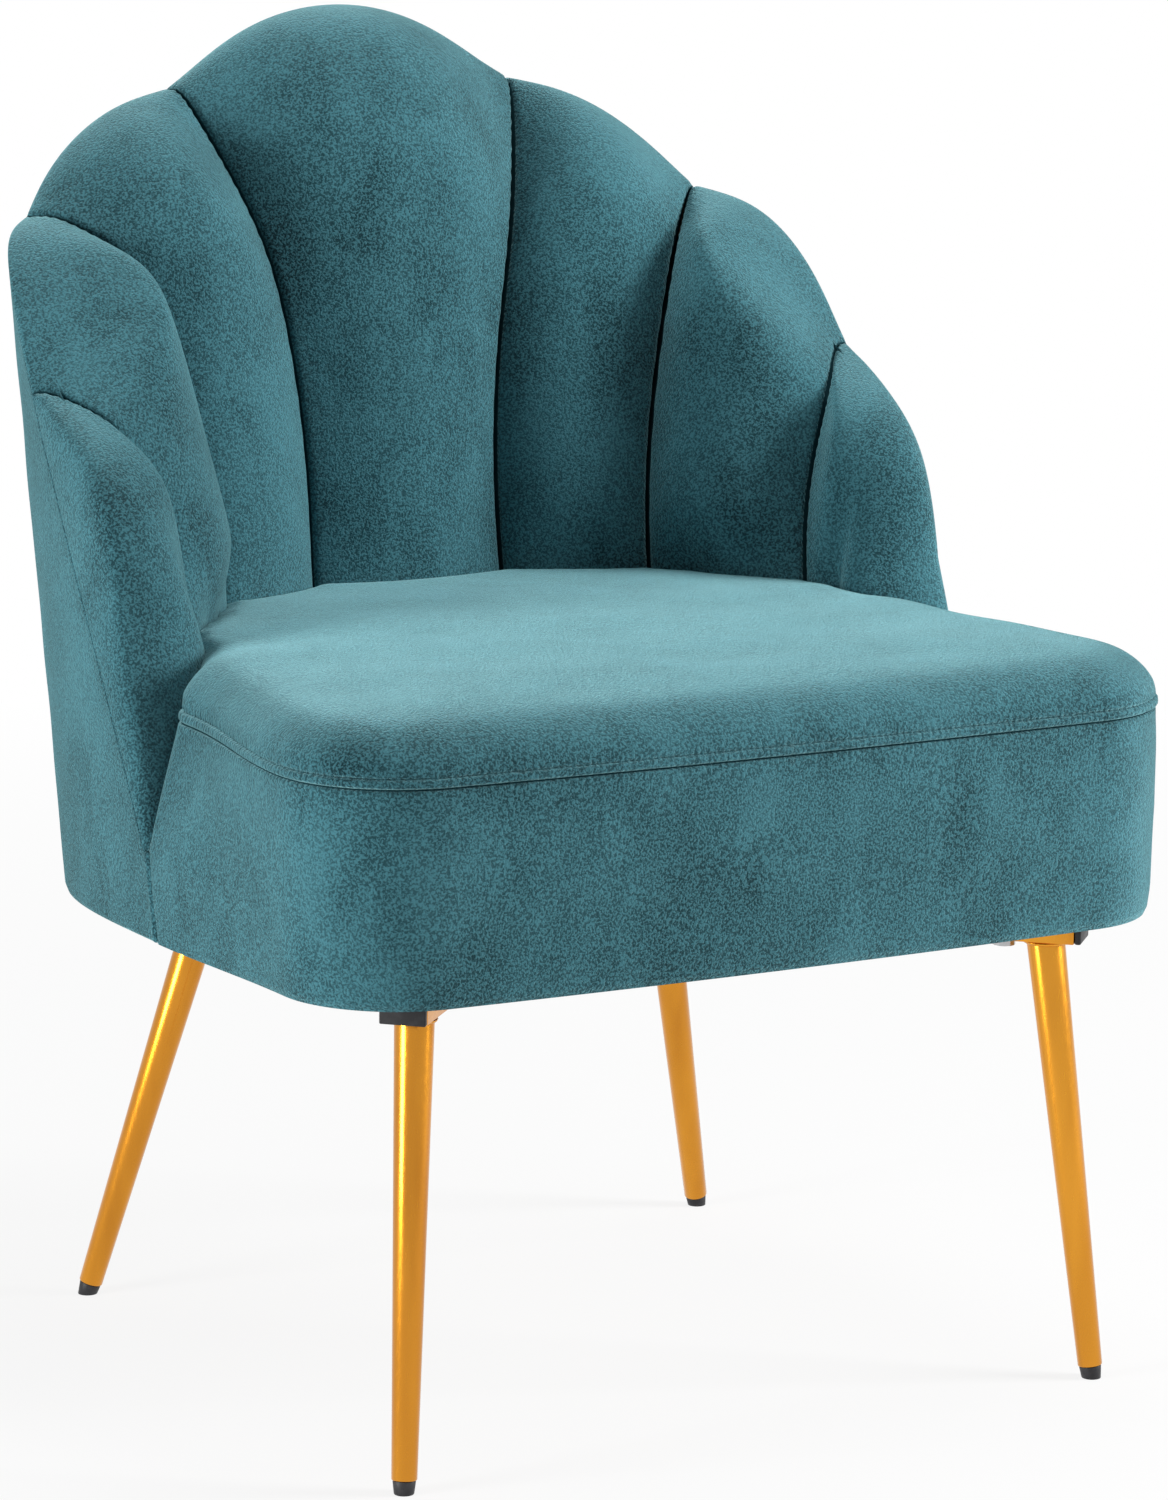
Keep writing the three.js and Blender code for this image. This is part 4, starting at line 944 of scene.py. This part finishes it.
def pad_grids(channel, grow=0.0):
    """The front and back grids of one channel, with its sewn grooves and soft fullness."""
    shares = pad_shares(channel)
    edge_line, front, back = zip(*(pad_section(channel, share, grow) for share in shares))
    front = np.stack(front, axis=1)
    back = np.stack(back, axis=1)

    # The rim is rounded most on the wing, and more and more towards it on the channel beside it
    shares = held(shares)
    rounder = {wing - 1: ease(shares), wing: np.ones_like(shares)}
    rounder = rounder.get(channel, np.zeros_like(shares))
    plain_rim = smoothed_rows(front, rim_rounds)
    wing_rim = smoothed_rows(front, wing_rim_rounds)
    front = mix(plain_rim, wing_rim, rounder[None, :, None])

    # Distances to the nearer seam and along it
    steps = np.linalg.norm(np.diff(front, axis=1), axis=2)
    across = np.concatenate([np.zeros((front.shape[0], 1)), np.cumsum(steps, axis=1)], axis=1)
    far = across[:, -1:] - across if channel < wing else np.full_like(across, beyond_seams)
    near = np.minimum(across, far)
    runs = np.linalg.norm(np.diff(front, axis=0), axis=2)
    along = np.concatenate([np.zeros((1, front.shape[1])), np.cumsum(runs, axis=0)], axis=0)

    # Grooves, puckers beside them, fullness between them, and the foot tucked behind the seat
    groove = dent(near, *pad_groove)
    seam_run = np.where(across <= far, along[:, :1], along[:, -1:])
    pucker = pucker_depth * np.exp(-near / pucker_reach)
    pucker = pucker * np.sin(2 * math.pi * seam_run / pucker_pitch)
    pucker *= np.exp(-((along / pucker_run) ** 2))
    soft = fullness(front, pad_fullness) * held(near / fullness_reach)
    lift = (soft + pucker) * held(along / rim_fade) * held((along[-1:] - along) / foot_fade)
    lift -= groove * held(along / groove_start)
    tuck = foot_tucks[channel] * ease(held(near / foot_tuck_reach))
    if channel == wing:
        tuck = tuck * (1 - ease(held(shares / wing_tuck_share)))
    lift -= tuck * ease(held((foot_tuck_top - front[..., 2]) / foot_tuck_run))
    front = front + grid_normals(front) * lift[..., None]
    return np.array(edge_line), front, back, near, along


def closed_sheet(front, back):
    """Points and faces of a closed sheet between two grids that face opposite ways."""
    rows, columns = front.shape[:2]
    points = np.vstack([front.reshape(-1, 3), back.reshape(-1, 3)])
    f = np.arange(rows * columns).reshape(rows, columns)
    b = f + rows * columns
    faces = [
        np.stack([f[:-1, :-1], f[1:, :-1], f[1:, 1:], f[:-1, 1:]], -1).reshape(-1, 4),
        np.stack([b[:-1, :-1], b[:-1, 1:], b[1:, 1:], b[1:, :-1]], -1).reshape(-1, 4),
        np.stack([b[:-1, 0], b[1:, 0], f[1:, 0], f[:-1, 0]], -1),
        np.stack([f[:-1, -1], f[1:, -1], b[1:, -1], b[:-1, -1]], -1),
        np.stack([f[0, :-1], f[0, 1:], b[0, 1:], b[0, :-1]], -1),
        np.stack([f[-1, :-1], b[-1, :-1], b[-1, 1:], f[-1, 1:]], -1),
    ]
    return points, np.vstack(faces)


def cloth_piece(name, points, faces, values=None, mirror=False):
    """A mesh from points in millimetres, with a float attribute for each set of values."""
    placed = np.array(points, float)
    if mirror:
        placed[:, 0] *= -1
        faces = faces[:, ::-1]
    placed[:, 1] += frame_shift
    mesh = bpy.data.meshes.new(name)
    mesh.from_pydata((placed * mm).tolist(), [], [tuple(map(int, face)) for face in faces])
    mesh.update()
    for key, numbers in (values or {}).items():
        attribute = mesh.attributes.new(key, "FLOAT", "POINT")
        attribute.data.foreach_set("value", np.asarray(numbers, np.float32))
    piece = bpy.data.objects.new(name, mesh)
    bpy.context.scene.collection.objects.link(piece)
    return piece


velvet_deep = (0.003, 0.018, 0.024, 1)
velvet_light = (0.060, 0.200, 0.240, 1)
# The dark colour painted into the sewn grooves as shade
groove_shade_colour = (0.004, 0.018, 0.022, 1)
velvet_sheen = (0.44, 0.84, 0.90, 1)
# The colour of the dark material painted as shade along the seams and creases
crease_shade_colour = (0.012, 0.046, 0.056, 1)
grain_share = 0.66
lie_share = 0.42
# The share of the painted seam shade in the velvet's tone
seam_shade_share = 0.08
stitch_pitch = 4.2


def reckon(tree, operation, *parts):
    """One step of arithmetic on sockets and numbers."""
    node = add_node(tree, "ShaderNodeMath", {"operation": operation})
    for socket, part in zip(node.inputs, parts):
        feed(tree, socket, part)
    return node.outputs[0]


def velvet_finish():
    """Short velvet: a mottled nap, fine grain, stitches and puckers at seams, and painted shade
    that darkens the colour towards each seam and more in its groove.
    """
    finish, shader = new_finish("teal_velvet", 0.88, specular=0.12)
    tree = finish.node_tree
    place = object_place(tree)
    nap = noise(tree, place, 9.0, 3.0, 0.3)
    strokes = noise(tree, object_place(tree, (1, 1, 0.6)), 26.0, 5.0, 0.6)
    gap = add_node(tree, "ShaderNodeAttribute", {"attribute_name": "seam_gap"}).outputs["Fac"]
    run = add_node(tree, "ShaderNodeAttribute", {"attribute_name": "seam_run"}).outputs["Fac"]
    lie = ranged(tree, reckon(tree, "ADD", nap, strokes), 0.76, 1.28)
    # Painted shade: this mask is 0 at a seam and 1 some 26 mm away, so the colour darkens
    # towards each seam where the channel turns into its groove
    full = ranged(tree, gap, 1.0, 26.0)
    grain = noise(tree, place, 700.0, 2.0, 0.5)
    flecks = ranged(tree, grain, 0.43, 0.58)
    # The tone mixes real grain and nap with the painted shade towards the seams
    nap_and_seam_shade = 0.0
    for part, share in ((flecks, grain_share), (lie, lie_share), (full, seam_shade_share)):
        nap_and_seam_shade = reckon(tree, "MULTIPLY_ADD", part, share, nap_and_seam_shade)
    colour = blend_colours(tree, nap_and_seam_shade, velvet_deep, velvet_light)
    # Painted shade: within about a millimetre of a seam the colour goes nearly to the darkest
    # tone, where shade falls into the sewn groove
    groove_shade = ranged(tree, gap, 0.3, 1.1, 0.7, 0.0)
    colour = blend_colours(tree, groove_shade, colour, groove_shade_colour)
    tree.links.new(colour, shader.inputs["Base Color"])
    wave = reckon(tree, "SINE", reckon(tree, "MULTIPLY", run, 2 * math.pi / stitch_pitch))
    pucker = reckon(tree, "MULTIPLY", wave, ranged(tree, gap, 0.0, 7.0, 1.0, 0.0))
    normal = bump(tree, pucker, 0.0003, 0.5)
    normal = bump(tree, lie, 0.0010, 0.3, normal)
    normal = bump(tree, grain, 0.0014, 0.75, normal)
    tree.links.new(normal, shader.inputs["Normal"])
    tree.links.new(ranged(tree, lie, 0.0, 1.0, 0.95, 0.8), shader.inputs["Roughness"])
    shader.inputs["Sheen Weight"].default_value = 0.95
    shader.inputs["Sheen Roughness"].default_value = 0.42
    shader.inputs["Sheen Tint"].default_value = velvet_sheen
    return finish


velvet = velvet_finish()
# Painted shade: a dark velvet without sheen for the faces along the seams and the heel crease,
# so that they read as shaded lines
crease_shade_finish, shader = new_finish("velvet_crease_shade", 0.95, specular=0.05)
shader.inputs["Base Color"].default_value = crease_shade_colour
crease_shade_width = 0.4
hidden_gap = 60.0
cloth_smooth_angle = 55


def finish_padded(piece, replaced):
    """Velvet all over, with a dark material without sheen put on as painted shade on the faces
    where a seam is drawn in.
    """
    finish_piece(piece, velvet, replaced=replaced, smooth_angle=cloth_smooth_angle)
    piece.data.materials.append(crease_shade_finish)
    gaps = np.zeros(len(piece.data.vertices), np.float32)
    piece.data.attributes["seam_gap"].data.foreach_get("value", gaps)
    for face in piece.data.polygons:
        if gaps[list(face.vertices)].mean() < crease_shade_width:
            face.material_index = 1


channel_names = ["centre", "inner", "middle", "wing"]
pad_room = 0.3
edge_lines = []
tool_pads = []
soft_pieces = []
for channel, place in enumerate(channel_names):
    edge_line, front, back, near, along = pad_grids(channel)
    edge_lines.append(edge_line)
    points, faces = closed_sheet(front, back)
    behind_gap = np.full(back[..., 0].shape, hidden_gap)
    # The side walls between channels count as on the seam, so they take the painted crease
    # shade
    behind_gap[:, [0, -1]] = 0.0
    values = {
        "seam_gap": np.concatenate([near.ravel(), behind_gap.ravel()]),
        "seam_run": np.concatenate([along.ravel(), np.zeros(back[..., 0].size)]),
    }
    _, grown_front, grown_back, _, _ = pad_grids(channel, pad_room)
    tool_pads.append(closed_sheet(grown_front, grown_back))
    sides = ["centre"] if channel == 0 else [place + "_right", place + "_left"]
    for side in sides:
        mirror = side.endswith("_left")
        pad = cloth_piece("back_pad_" + side, points, faces, values, mirror)
        finish_padded(pad, ["back_channel_" + side])
        soft_pieces.append(pad)


# Outer cover. The same velvet over thin wadding, drawn smooth over the plywood from the
# sewn edge of the scallops down to the hem, where it is turned under and stapled.

cover_thickness = 3.0
cover_gap = 0.6
cover_columns = 720
cover_rows = 70
edge_rows = 8
edge_rows_share = 0.03
least_cover = 0.3
edge_roll = 2.2
edge_roll_reach = 3.0
hem_roll = 1.2
toe_roll = 1.6
turned_reach = 2.5
toe_ridge = (0.8, 2.0)
toe_ridge_place = 4.5
cover_fullness = 0.8
cover_wave_pace = 1.7
edge_free_reach = 30
hem_free_reach = 20
# Offsets added to the distance from each sewn line: the smaller one is, the more painted shade
# and dark crease material that line gets
edge_seam_gap = 0.2
hem_seam_gap = 0.9
toe_seam_gap = 0.1
cover_run = 2400


def whole_line(lines):
    """The edge seam round the whole back, from the left toe to the right one."""
    touch = 1e-6
    centre = lines[0][lines[0][:, 0] >= -touch]
    right = np.vstack([centre, *(line[1:] for line in lines[1:])])
    left = right[::-1] * (-1, 1)
    return np.vstack([left, right[right[:, 0] > touch]])


def drawn_in(line, gap):
    """A polyline moved in by a gap."""
    before = np.vstack([line[:1], line[:-1]])
    after = np.vstack([line[1:], line[-1:]])
    run = after - before
    return line + units(np.stack([run[:, 1], -run[:, 0]], -1)) * gap


def evenly(line, count):
    """A polyline set out again with points at even distances."""
    runs = runs_along(line)
    places = np.linspace(0, runs[-1], count)
    return np.stack([np.interp(places, runs, line[:, i]) for i in range(2)], -1)


def rolled(gap, reach):
    """How far a turned edge rolls away: 1 at the edge, and 0 from its reach on."""
    return 1 - np.sqrt(held(1 - (1 - held(gap / reach)) ** 2))


cover_top = drawn_in(whole_line(edge_lines), cover_gap)
toe_top = deck_height - cover_gap
cover_top = np.vstack([[-wing_toe[0], toe_top], cover_top, [wing_toe[0], toe_top]])
cover_edge = evenly(cover_top, cover_columns)
share_round = np.linspace(0, 1, len(cover_edge))
cover_foot = np.stack([wing_toe[0] * (2 * share_round - 1), hem_height + 0 * share_round], -1)
edge_shares = np.linspace(0, edge_rows_share, edge_rows)[:-1]
row_shares = np.concatenate([edge_shares, np.linspace(edge_rows_share, 1, cover_rows)])
spots = mix(cover_edge[None], cover_foot[None], row_shares[:, None, None])
drop = np.linalg.norm(spots - spots[:1], axis=2)
rise = np.linalg.norm(spots - spots[-1:], axis=2)
cover_length = np.linalg.norm(np.diff(cover_edge, axis=0), axis=1).sum()
toe_gap = np.minimum(share_round, 1 - share_round) * cover_length
roll = edge_roll * rolled(drop, edge_roll_reach) + hem_roll * rolled(rise, turned_reach)
roll = roll + toe_roll * rolled(toe_gap, turned_reach)
ridge = dent(toe_gap - toe_ridge_place, *toe_ridge)
outer_depth = np.minimum(roll - ridge, cover_thickness - least_cover)
cover_outer = shell_point(spots[..., 0], spots[..., 1], outer_depth)
ripple = fullness(cover_outer * cover_wave_pace, cover_fullness)
ripple = ripple * held(drop / edge_free_reach) * held(rise / hem_free_reach)
cover_outer = shell_point(spots[..., 0], spots[..., 1], outer_depth - ripple)
cover_inner = shell_point(spots[..., 0], spots[..., 1], cover_thickness)
points, faces = closed_sheet(cover_inner, cover_outer)
# How near each point lies to a sewn line, which sets the puckers and the painted shade at the
# seams
nearest = np.minimum(drop + edge_seam_gap, rise + hem_seam_gap)
nearest = np.minimum(nearest, toe_gap + toe_seam_gap)
seam_run = np.broadcast_to(share_round * cover_run, drop.shape).ravel()
values = {
    "seam_gap": np.concatenate([np.full(drop.size, hidden_gap), nearest.ravel()]),
    "seam_run": np.concatenate([np.zeros(drop.size), seam_run]),
}
cover = cloth_piece("outer_cover_cloth", points, faces, values)
finish_padded(cover, ["outer_cover"])


# Seat cushion. A foam block under a crowned velvet top, sewn to an upright boxing band with
# a turned seam allowance and a topstitch above it, and pulled down round the frame.

seat_half_width = 298
seat_front_reach = 231
seat_corner_radius = 77
seat_seam_height = 425
crown_rise = 37
seat_edge_rise_share = 0.89
seat_crown_run = 40
seat_seam_draw = 3
seat_crown_draw = 1.2
seat_front_bow = 5
seat_heel_radius = 30
seat_heel_draw = 26
seat_tuck = 36
seat_side_tuck = 59
frame_base_level = 292.6
frame_half_width = 283.2
frame_front_reach = 216.2
frame_corner_radius = 62.2
room_gap = 0.3
seat_corner_x = seat_half_width - seat_corner_radius
seat_corner_y = seat_corner_radius - seat_front_reach
boxing_height_shares = [0, 0.03, 0.12, 0.5, 0.88, 0.97, 1]
boxing_draw_shares = [1.6, 1, 0.5, 0, 0.3, 0.5, 1.3]
boxing_evened_from = 400
boxing_evened_run = 25
front_points = 64
corner_points = 48
heel_points = 24
back_points = 90


def wing_front_y(height):
    """Where the front edge of the wing stands at a height."""
    share = (height - deck_height) / (wing_front[1] - deck_height)
    girth = mix(wing_toe[0], wing_front[0], max(share, 0))
    return shell_point(girth, height, 0)[1]


def seat_half(height, inset):
    """Half of the seat's outline at a height, from the middle of the front to the back."""
    radius = seat_corner_radius - inset
    share = np.linspace(0, 1, front_points, endpoint=False)
    front_y = inset - seat_front_reach - seat_front_bow * (1 - share**2)
    parts = [np.stack([seat_corner_x * share, front_y], -1)]
    turns = np.linspace(-math.pi / 2, 0, corner_points)
    arc_x = seat_corner_x + radius * np.cos(turns)
    parts.append(np.stack([arc_x, seat_corner_y + radius * np.sin(turns)], -1))
    climb = (height - deck_height) / (seat_seam_height - deck_height)
    heel_share = min(max(climb, 0), 1)
    heel = mix(seat_seam_draw, seat_heel_radius, heel_share)
    heel_y = wing_front_y(height) + seat_seam_draw - heel
    side_x = seat_half_width - inset
    rising = min(max((height - seat_seam_height) / seat_seam_draw, 0), 1)
    flush_x = shell_half_width - seat_heel_draw * heel_share - inset * rising
    share = np.linspace(0, 1, front_points)[1:-1]
    side_y = mix(seat_corner_y, heel_y, share)
    parts.append(np.stack([mix(side_x, flush_x, ease(share)), side_y], -1))
    turns = np.linspace(0, math.pi / 2, heel_points)
    heel_x = flush_x - heel * (1 - np.cos(turns))
    parts.append(np.stack([heel_x, heel_y + heel * np.sin(turns)], -1))
    share = np.linspace(0, 1, back_points)
    girth = mix(half_girth - seat_tuck, 0, share)
    tuck = shell_point(girth, height, mix(seat_side_tuck, seat_tuck, share))
    parts.append(tuck[:, :2])
    return np.vstack(parts)


def seat_ring(height, inset):
    """The seat's whole outline at a height, as points of the cushion."""
    half = seat_half(height, inset)
    ring = np.vstack([half, half[1:-1][::-1] * (-1, 1)])
    return np.column_stack([ring, np.full(len(ring), height)])


# The two sewn lines of the seam allowance, and rings that stand closest together round them
seam_low = 420.5
seam_high = 427.0
ring_runs = [
    (hem_height, hem_height + 6, 9),
    (hem_height + 9, seam_low - 8, 26),
    (seam_low - 6, seam_high + 5, 58),
]
boxing_heights = np.concatenate([np.linspace(*run) for run in ring_runs])
seat_span = seat_seam_height - hem_height
edge_rise = crown_rise * seat_edge_rise_share
edge_rings = 34
crown_rings = 46
middle_share = 0.02
rings = []
for height in boxing_heights:
    if height <= seat_seam_height:
        span_share = (height - hem_height) / seat_span
        draw = np.interp(span_share, boxing_height_shares, boxing_draw_shares)
        evened = min(max((height - boxing_evened_from) / boxing_evened_run, 0), 1)
        inset = mix(draw * seat_seam_draw, seat_crown_draw, ease(evened))
    else:
        lift = (height - seat_seam_height) / edge_rise
        inset = seat_crown_draw + seat_crown_run * (1 - math.sqrt(1 - lift**2))
    rings.append(seat_ring(height, inset))
first_lift = (boxing_heights[-1] - seat_seam_height) / edge_rise
for turn in np.linspace(math.asin(first_lift), math.pi / 2, edge_rings)[1:]:
    inset = seat_crown_draw + seat_crown_run * (1 - math.cos(turn))
    rings.append(seat_ring(seat_seam_height + edge_rise * math.sin(turn), inset))
last_ring = rings[-1]
for share in np.linspace(1, middle_share, crown_rings)[1:]:
    ring = last_ring * (share, share, 1)
    ring[:, 2] += crown_rise * (1 - seat_edge_rise_share) * (1 - share**3)
    rings.append(ring)
seat_grid = np.array(rings)


crown_start = len(boxing_heights) + 2
top_first = len(boxing_heights) + 6
crown_rounds = 150
top_rounds = 30
evening_ramp = 14
evening_share = 0.5


def smoothed_top(grid, first, rounds):
    """Evens out the crown above the seam, along and across the rings."""
    weight = held((np.arange(len(grid)) - first) / evening_ramp)[:, None, None]
    for _ in range(rounds):
        around = (np.roll(grid, 1, axis=1) + np.roll(grid, -1, axis=1)) / 2
        over = grid.copy()
        over[1:-1] = (grid[:-2] + grid[2:]) / 2
        grid = mix(grid, (around + over) / 2, evening_share * weight)
    return grid


seat_grid = smoothed_top(seat_grid, crown_start, crown_rounds)
seat_grid = smoothed_top(seat_grid, top_first, top_rounds)

# The crown sinks into a crevice where it meets the channels
pad_trees = []
for piece in soft_pieces:
    shape = bmesh.new()
    shape.from_mesh(piece.data)
    pad_trees.append(BVHTree.FromBMesh(shape))
    shape.free()

crevice_depth = 4.0
crevice_reach = 6.0
crevice_power = 1.6
crevice_end = 60
crevice_front_y = -170
crevice_ramp = 12
search_reach = 0.06


def pad_distance(spot):
    """How far a spot lies outside the nearest channel, in millimetres."""
    place = Vector((spot[0], spot[1] + frame_shift, spot[2])) * mm
    closest = beyond_seams
    for tree in pad_trees:
        hit, normal, _, distance = tree.find_nearest(place, search_reach)
        if hit is not None:
            outside = (place - hit).dot(normal) >= 0
            closest = min(closest, distance / mm if outside else -distance / mm)
    return closest


for row in range(top_first, len(seat_grid)):
    fade = min((row - top_first) / crevice_ramp, 1)
    for spot in seat_grid[row]:
        if spot[1] < crevice_front_y:
            continue
        gap = pad_distance(spot)
        if gap < crevice_end:
            near = math.exp(-((max(gap, 0) / crevice_reach) ** crevice_power))
            spot[2] -= crevice_depth * near * fade

# The two sewn lines, the swell between them, small gathers, the crease at the heel beside
# the wing, and the slack of the foam
low_line = (1.9, 0.9)
high_line = (1.1, 0.8)
band_swell = (1.2, 2.6, 4)
gather_depth = 0.25
gather_pitch = 9.0
gather_drift = 31.0
gather_reach = 5.0
heel_crease = (1.3, 1.8)
heel_from_x = 255
# Offsets that set how much painted shade and dark crease material the topstitch line and the
# heel crease get
high_line_gap = 0.45
heel_seam_gap = 0.1
seat_fullness = 1.3
seat_wave_pace = 1.3
seam_row = 40
outward = grid_normals(seat_grid)
ring_run = runs_along(seat_grid[seam_row])
heights = seat_grid[..., 2]
low_gap = np.abs(heights - seam_low)
high_gap = np.abs(heights - seam_high)
boxing_rows = np.arange(len(seat_grid))[:, None] < crown_start
lift = -dent(low_gap, *low_line) - dent(high_gap, *high_line)
lift += dent(heights - (seam_low + seam_high) / 2, *band_swell)
waves = 2 * math.pi * ring_run / gather_pitch + 2 * np.sin(ring_run / gather_drift)
gathers = gather_depth * np.sin(waves)
lift = lift + gathers[None] * np.exp(-high_gap / gather_reach)
lift = np.where(boxing_rows, lift, 0.0)
heel_line = np.array([wing_front_y(height) for height in boxing_heights])
heel_gap = np.full(heights.shape, beyond_seams)
rows = slice(0, len(boxing_heights))
heel_gap[rows] = np.abs(seat_grid[rows, :, 1] - heel_line[:, None])
heel_gap = np.where(np.abs(seat_grid[..., 0]) > heel_from_x, heel_gap, beyond_seams)
lift -= dent(heel_gap, *heel_crease)
slack = fullness(seat_grid * seat_wave_pace, seat_fullness)
slack = slack * held(np.minimum(low_gap, high_gap) / fullness_reach)
slack *= held((heights - hem_height) / fullness_reach)
seat_grid = seat_grid - outward * (lift + slack)[..., None]

index = np.arange(seat_grid[..., 0].size).reshape(seat_grid.shape[:2])
beside = np.roll(index, -1, axis=1)
quads = np.stack([index[:-1], beside[:-1], beside[1:], index[1:]], -1).reshape(-1, 4)
# Distances to the sewn lines and the heel crease, which place the painted shade in the grooves
# and the dark crease material there
seam_gaps = np.minimum(low_gap, high_gap + high_line_gap)
seam_gaps = np.minimum(np.where(boxing_rows, seam_gaps, hidden_gap), heel_gap + heel_seam_gap)
seam_runs = np.broadcast_to(ring_run, heights.shape)
values = {"seam_gap": seam_gaps.ravel(), "seam_run": seam_runs.ravel()}
seat = cloth_piece("seat_cushion_cloth", seat_grid.reshape(-1, 3), quads, values)
shape = bmesh.new()
shape.from_mesh(seat.data)
bmesh.ops.holes_fill(shape, edges=[e for e in shape.edges if e.is_boundary], sides=0)
bmesh.ops.recalc_face_normals(shape, faces=shape.faces)
shape.to_mesh(seat.data)
shape.free()


room_drop = 15
room_corner_steps = 25
room_steps = 121


def frame_room():
    """The room that the timber frame takes out of the cushion, as a closed prism."""
    turns = np.linspace(-math.pi / 2, 0, room_corner_steps)
    radius = frame_corner_radius + room_gap
    arc_x = frame_half_width - frame_corner_radius + radius * np.cos(turns)
    arc_y = frame_corner_radius - frame_front_reach + radius * np.sin(turns)
    arc = np.stack([arc_x, arc_y], -1)
    side = frame_half_width + room_gap
    reach = shell_back_reach + back_height
    outline = np.vstack([arc[::-1] * (-1, 1), arc, [[side, reach], [-side, reach]]])
    size = len(outline)
    levels = [frame_base_level - room_drop, deck_height]
    points = np.vstack([np.column_stack([outline, np.full(size, z)]) for z in levels])
    low = list(range(size))
    faces = [low[::-1], [i + size for i in low]]
    faces += [[i, (i + 1) % size, (i + 1) % size + size, i + size] for i in low]
    return points, faces


def shell_room():
    """The room of the plywood shell and its cover below the deck."""
    reach = wing_toe[0] + room_gap
    girths = np.linspace(-reach, reach, room_steps)
    levels = (deck_height + room_gap, frame_base_level - room_drop)
    depths = (seat_tuck, -cover_thickness)
    grids = [[shell_point(girths, level, depth) for level in levels] for depth in depths]
    return closed_sheet(*np.array(grids))


def carve(piece, points, faces, mirror=False):
    """Takes the room of a neighbour out of a piece."""
    tool = cloth_piece("room", points, faces, mirror=mirror)
    work_on(piece)
    carving = piece.modifiers.new("room", "BOOLEAN")
    carving.operation = "DIFFERENCE"
    carving.solver = "MANIFOLD"
    carving.object = tool
    bpy.ops.object.modifier_apply(modifier=carving.name)
    bpy.data.objects.remove(tool)


carve(seat, *frame_room())
carve(seat, *shell_room())
for points, faces in tool_pads:
    carve(seat, points, faces)
for points, faces in tool_pads[1:]:
    carve(seat, points, faces, mirror=True)
finish_padded(seat, ["seat_cushion"])


# Studio. A plain pale floor and a white surround, with soft lights from above, from the
# left and from the right and front.

floor_size = 12.0
floor_grey = (0.85, 0.85, 0.85, 1)
paper_white = (1, 1, 1, 1)
sky_tint = (0.95, 0.97, 1.0, 1)
sky_level = 0.15
mirrored_white = 0.8
bpy.ops.object.select_all(action="DESELECT")
bpy.ops.mesh.primitive_plane_add(size=floor_size, location=(0, 0, 0))
floor = bpy.context.object
floor.name = "floor"
paper = bpy.data.materials.new("floor_paper")
paper.use_nodes = True
tree = paper.node_tree
tree.nodes.clear()
matt = add_node(tree, "ShaderNodeBsdfDiffuse", {"Color": floor_grey})
white = add_node(tree, "ShaderNodeEmission", {"Color": paper_white, "Strength": 1.0})
path = add_node(tree, "ShaderNodeLightPath")
from_middle = add_node(tree, "ShaderNodeVectorMath", {"operation": "LENGTH"})
tree.links.new(object_place(tree), from_middle.inputs[0])
far_white = ranged(tree, from_middle.outputs["Value"], 0.5, 2.2, 0.86, 1.0)
seen = reckon(tree, "MULTIPLY", path.outputs["Is Camera Ray"], far_white)
glossy = reckon(tree, "MULTIPLY", path.outputs["Is Glossy Ray"], mirrored_white)
seen = reckon(tree, "MAXIMUM", seen, glossy)
links = {0: seen, 1: matt.outputs[0], 2: white.outputs[0]}
shown = add_node(tree, "ShaderNodeMixShader", links=links)
add_node(tree, "ShaderNodeOutputMaterial", links={"Surface": shown.outputs[0]})
floor.data.materials.append(paper)

world = bpy.data.worlds.new("studio")
bpy.context.scene.world = world
world.use_nodes = True
tree = world.node_tree
tree.nodes.clear()
path = add_node(tree, "ShaderNodeLightPath")
rays = (path.outputs["Is Camera Ray"], path.outputs["Is Transmission Ray"])
glossy = reckon(tree, "MULTIPLY", path.outputs["Is Glossy Ray"], mirrored_white)
seen = reckon(tree, "MAXIMUM", reckon(tree, "MAXIMUM", *rays), glossy)
soft_sky = add_node(tree, "ShaderNodeBackground", {"Color": sky_tint, "Strength": sky_level})
white_sky = add_node(tree, "ShaderNodeBackground", {"Color": paper_white, "Strength": 1.0})
links = {0: seen, 1: soft_sky.outputs[0], 2: white_sky.outputs[0]}
sky = add_node(tree, "ShaderNodeMixShader", links=links)
add_node(tree, "ShaderNodeOutputWorld", links={"Surface": sky.outputs[0]})


def soft_light(name, place, target_height, width, height, watts):
    """A soft box that is turned to a point above the middle of the floor."""
    light = bpy.data.lights.new(name, "AREA")
    light.shape = "RECTANGLE"
    light.size = width
    light.size_y = height
    light.energy = watts
    lamp = bpy.data.objects.new(name, light)
    bpy.context.scene.collection.objects.link(lamp)
    aim = Vector((0, 0, target_height)) - Vector(place)
    turn = aim.to_track_quat("-Z", "Y").to_matrix().to_4x4()
    lamp.matrix_world = Matrix.Translation(place) @ turn


soft_light("overhead", (0.4, 0.1, 2.4), 0.4, 1.2, 1.0, 14)
soft_light("left_box", (-2.7, -0.1, 0.7), 0.5, 0.9, 1.2, 64)
soft_light("right_box", (2.3, -1.5, 1.35), 0.5, 0.9, 1.2, 98)

bpy.context.scene.view_settings.view_transform = "Standard"
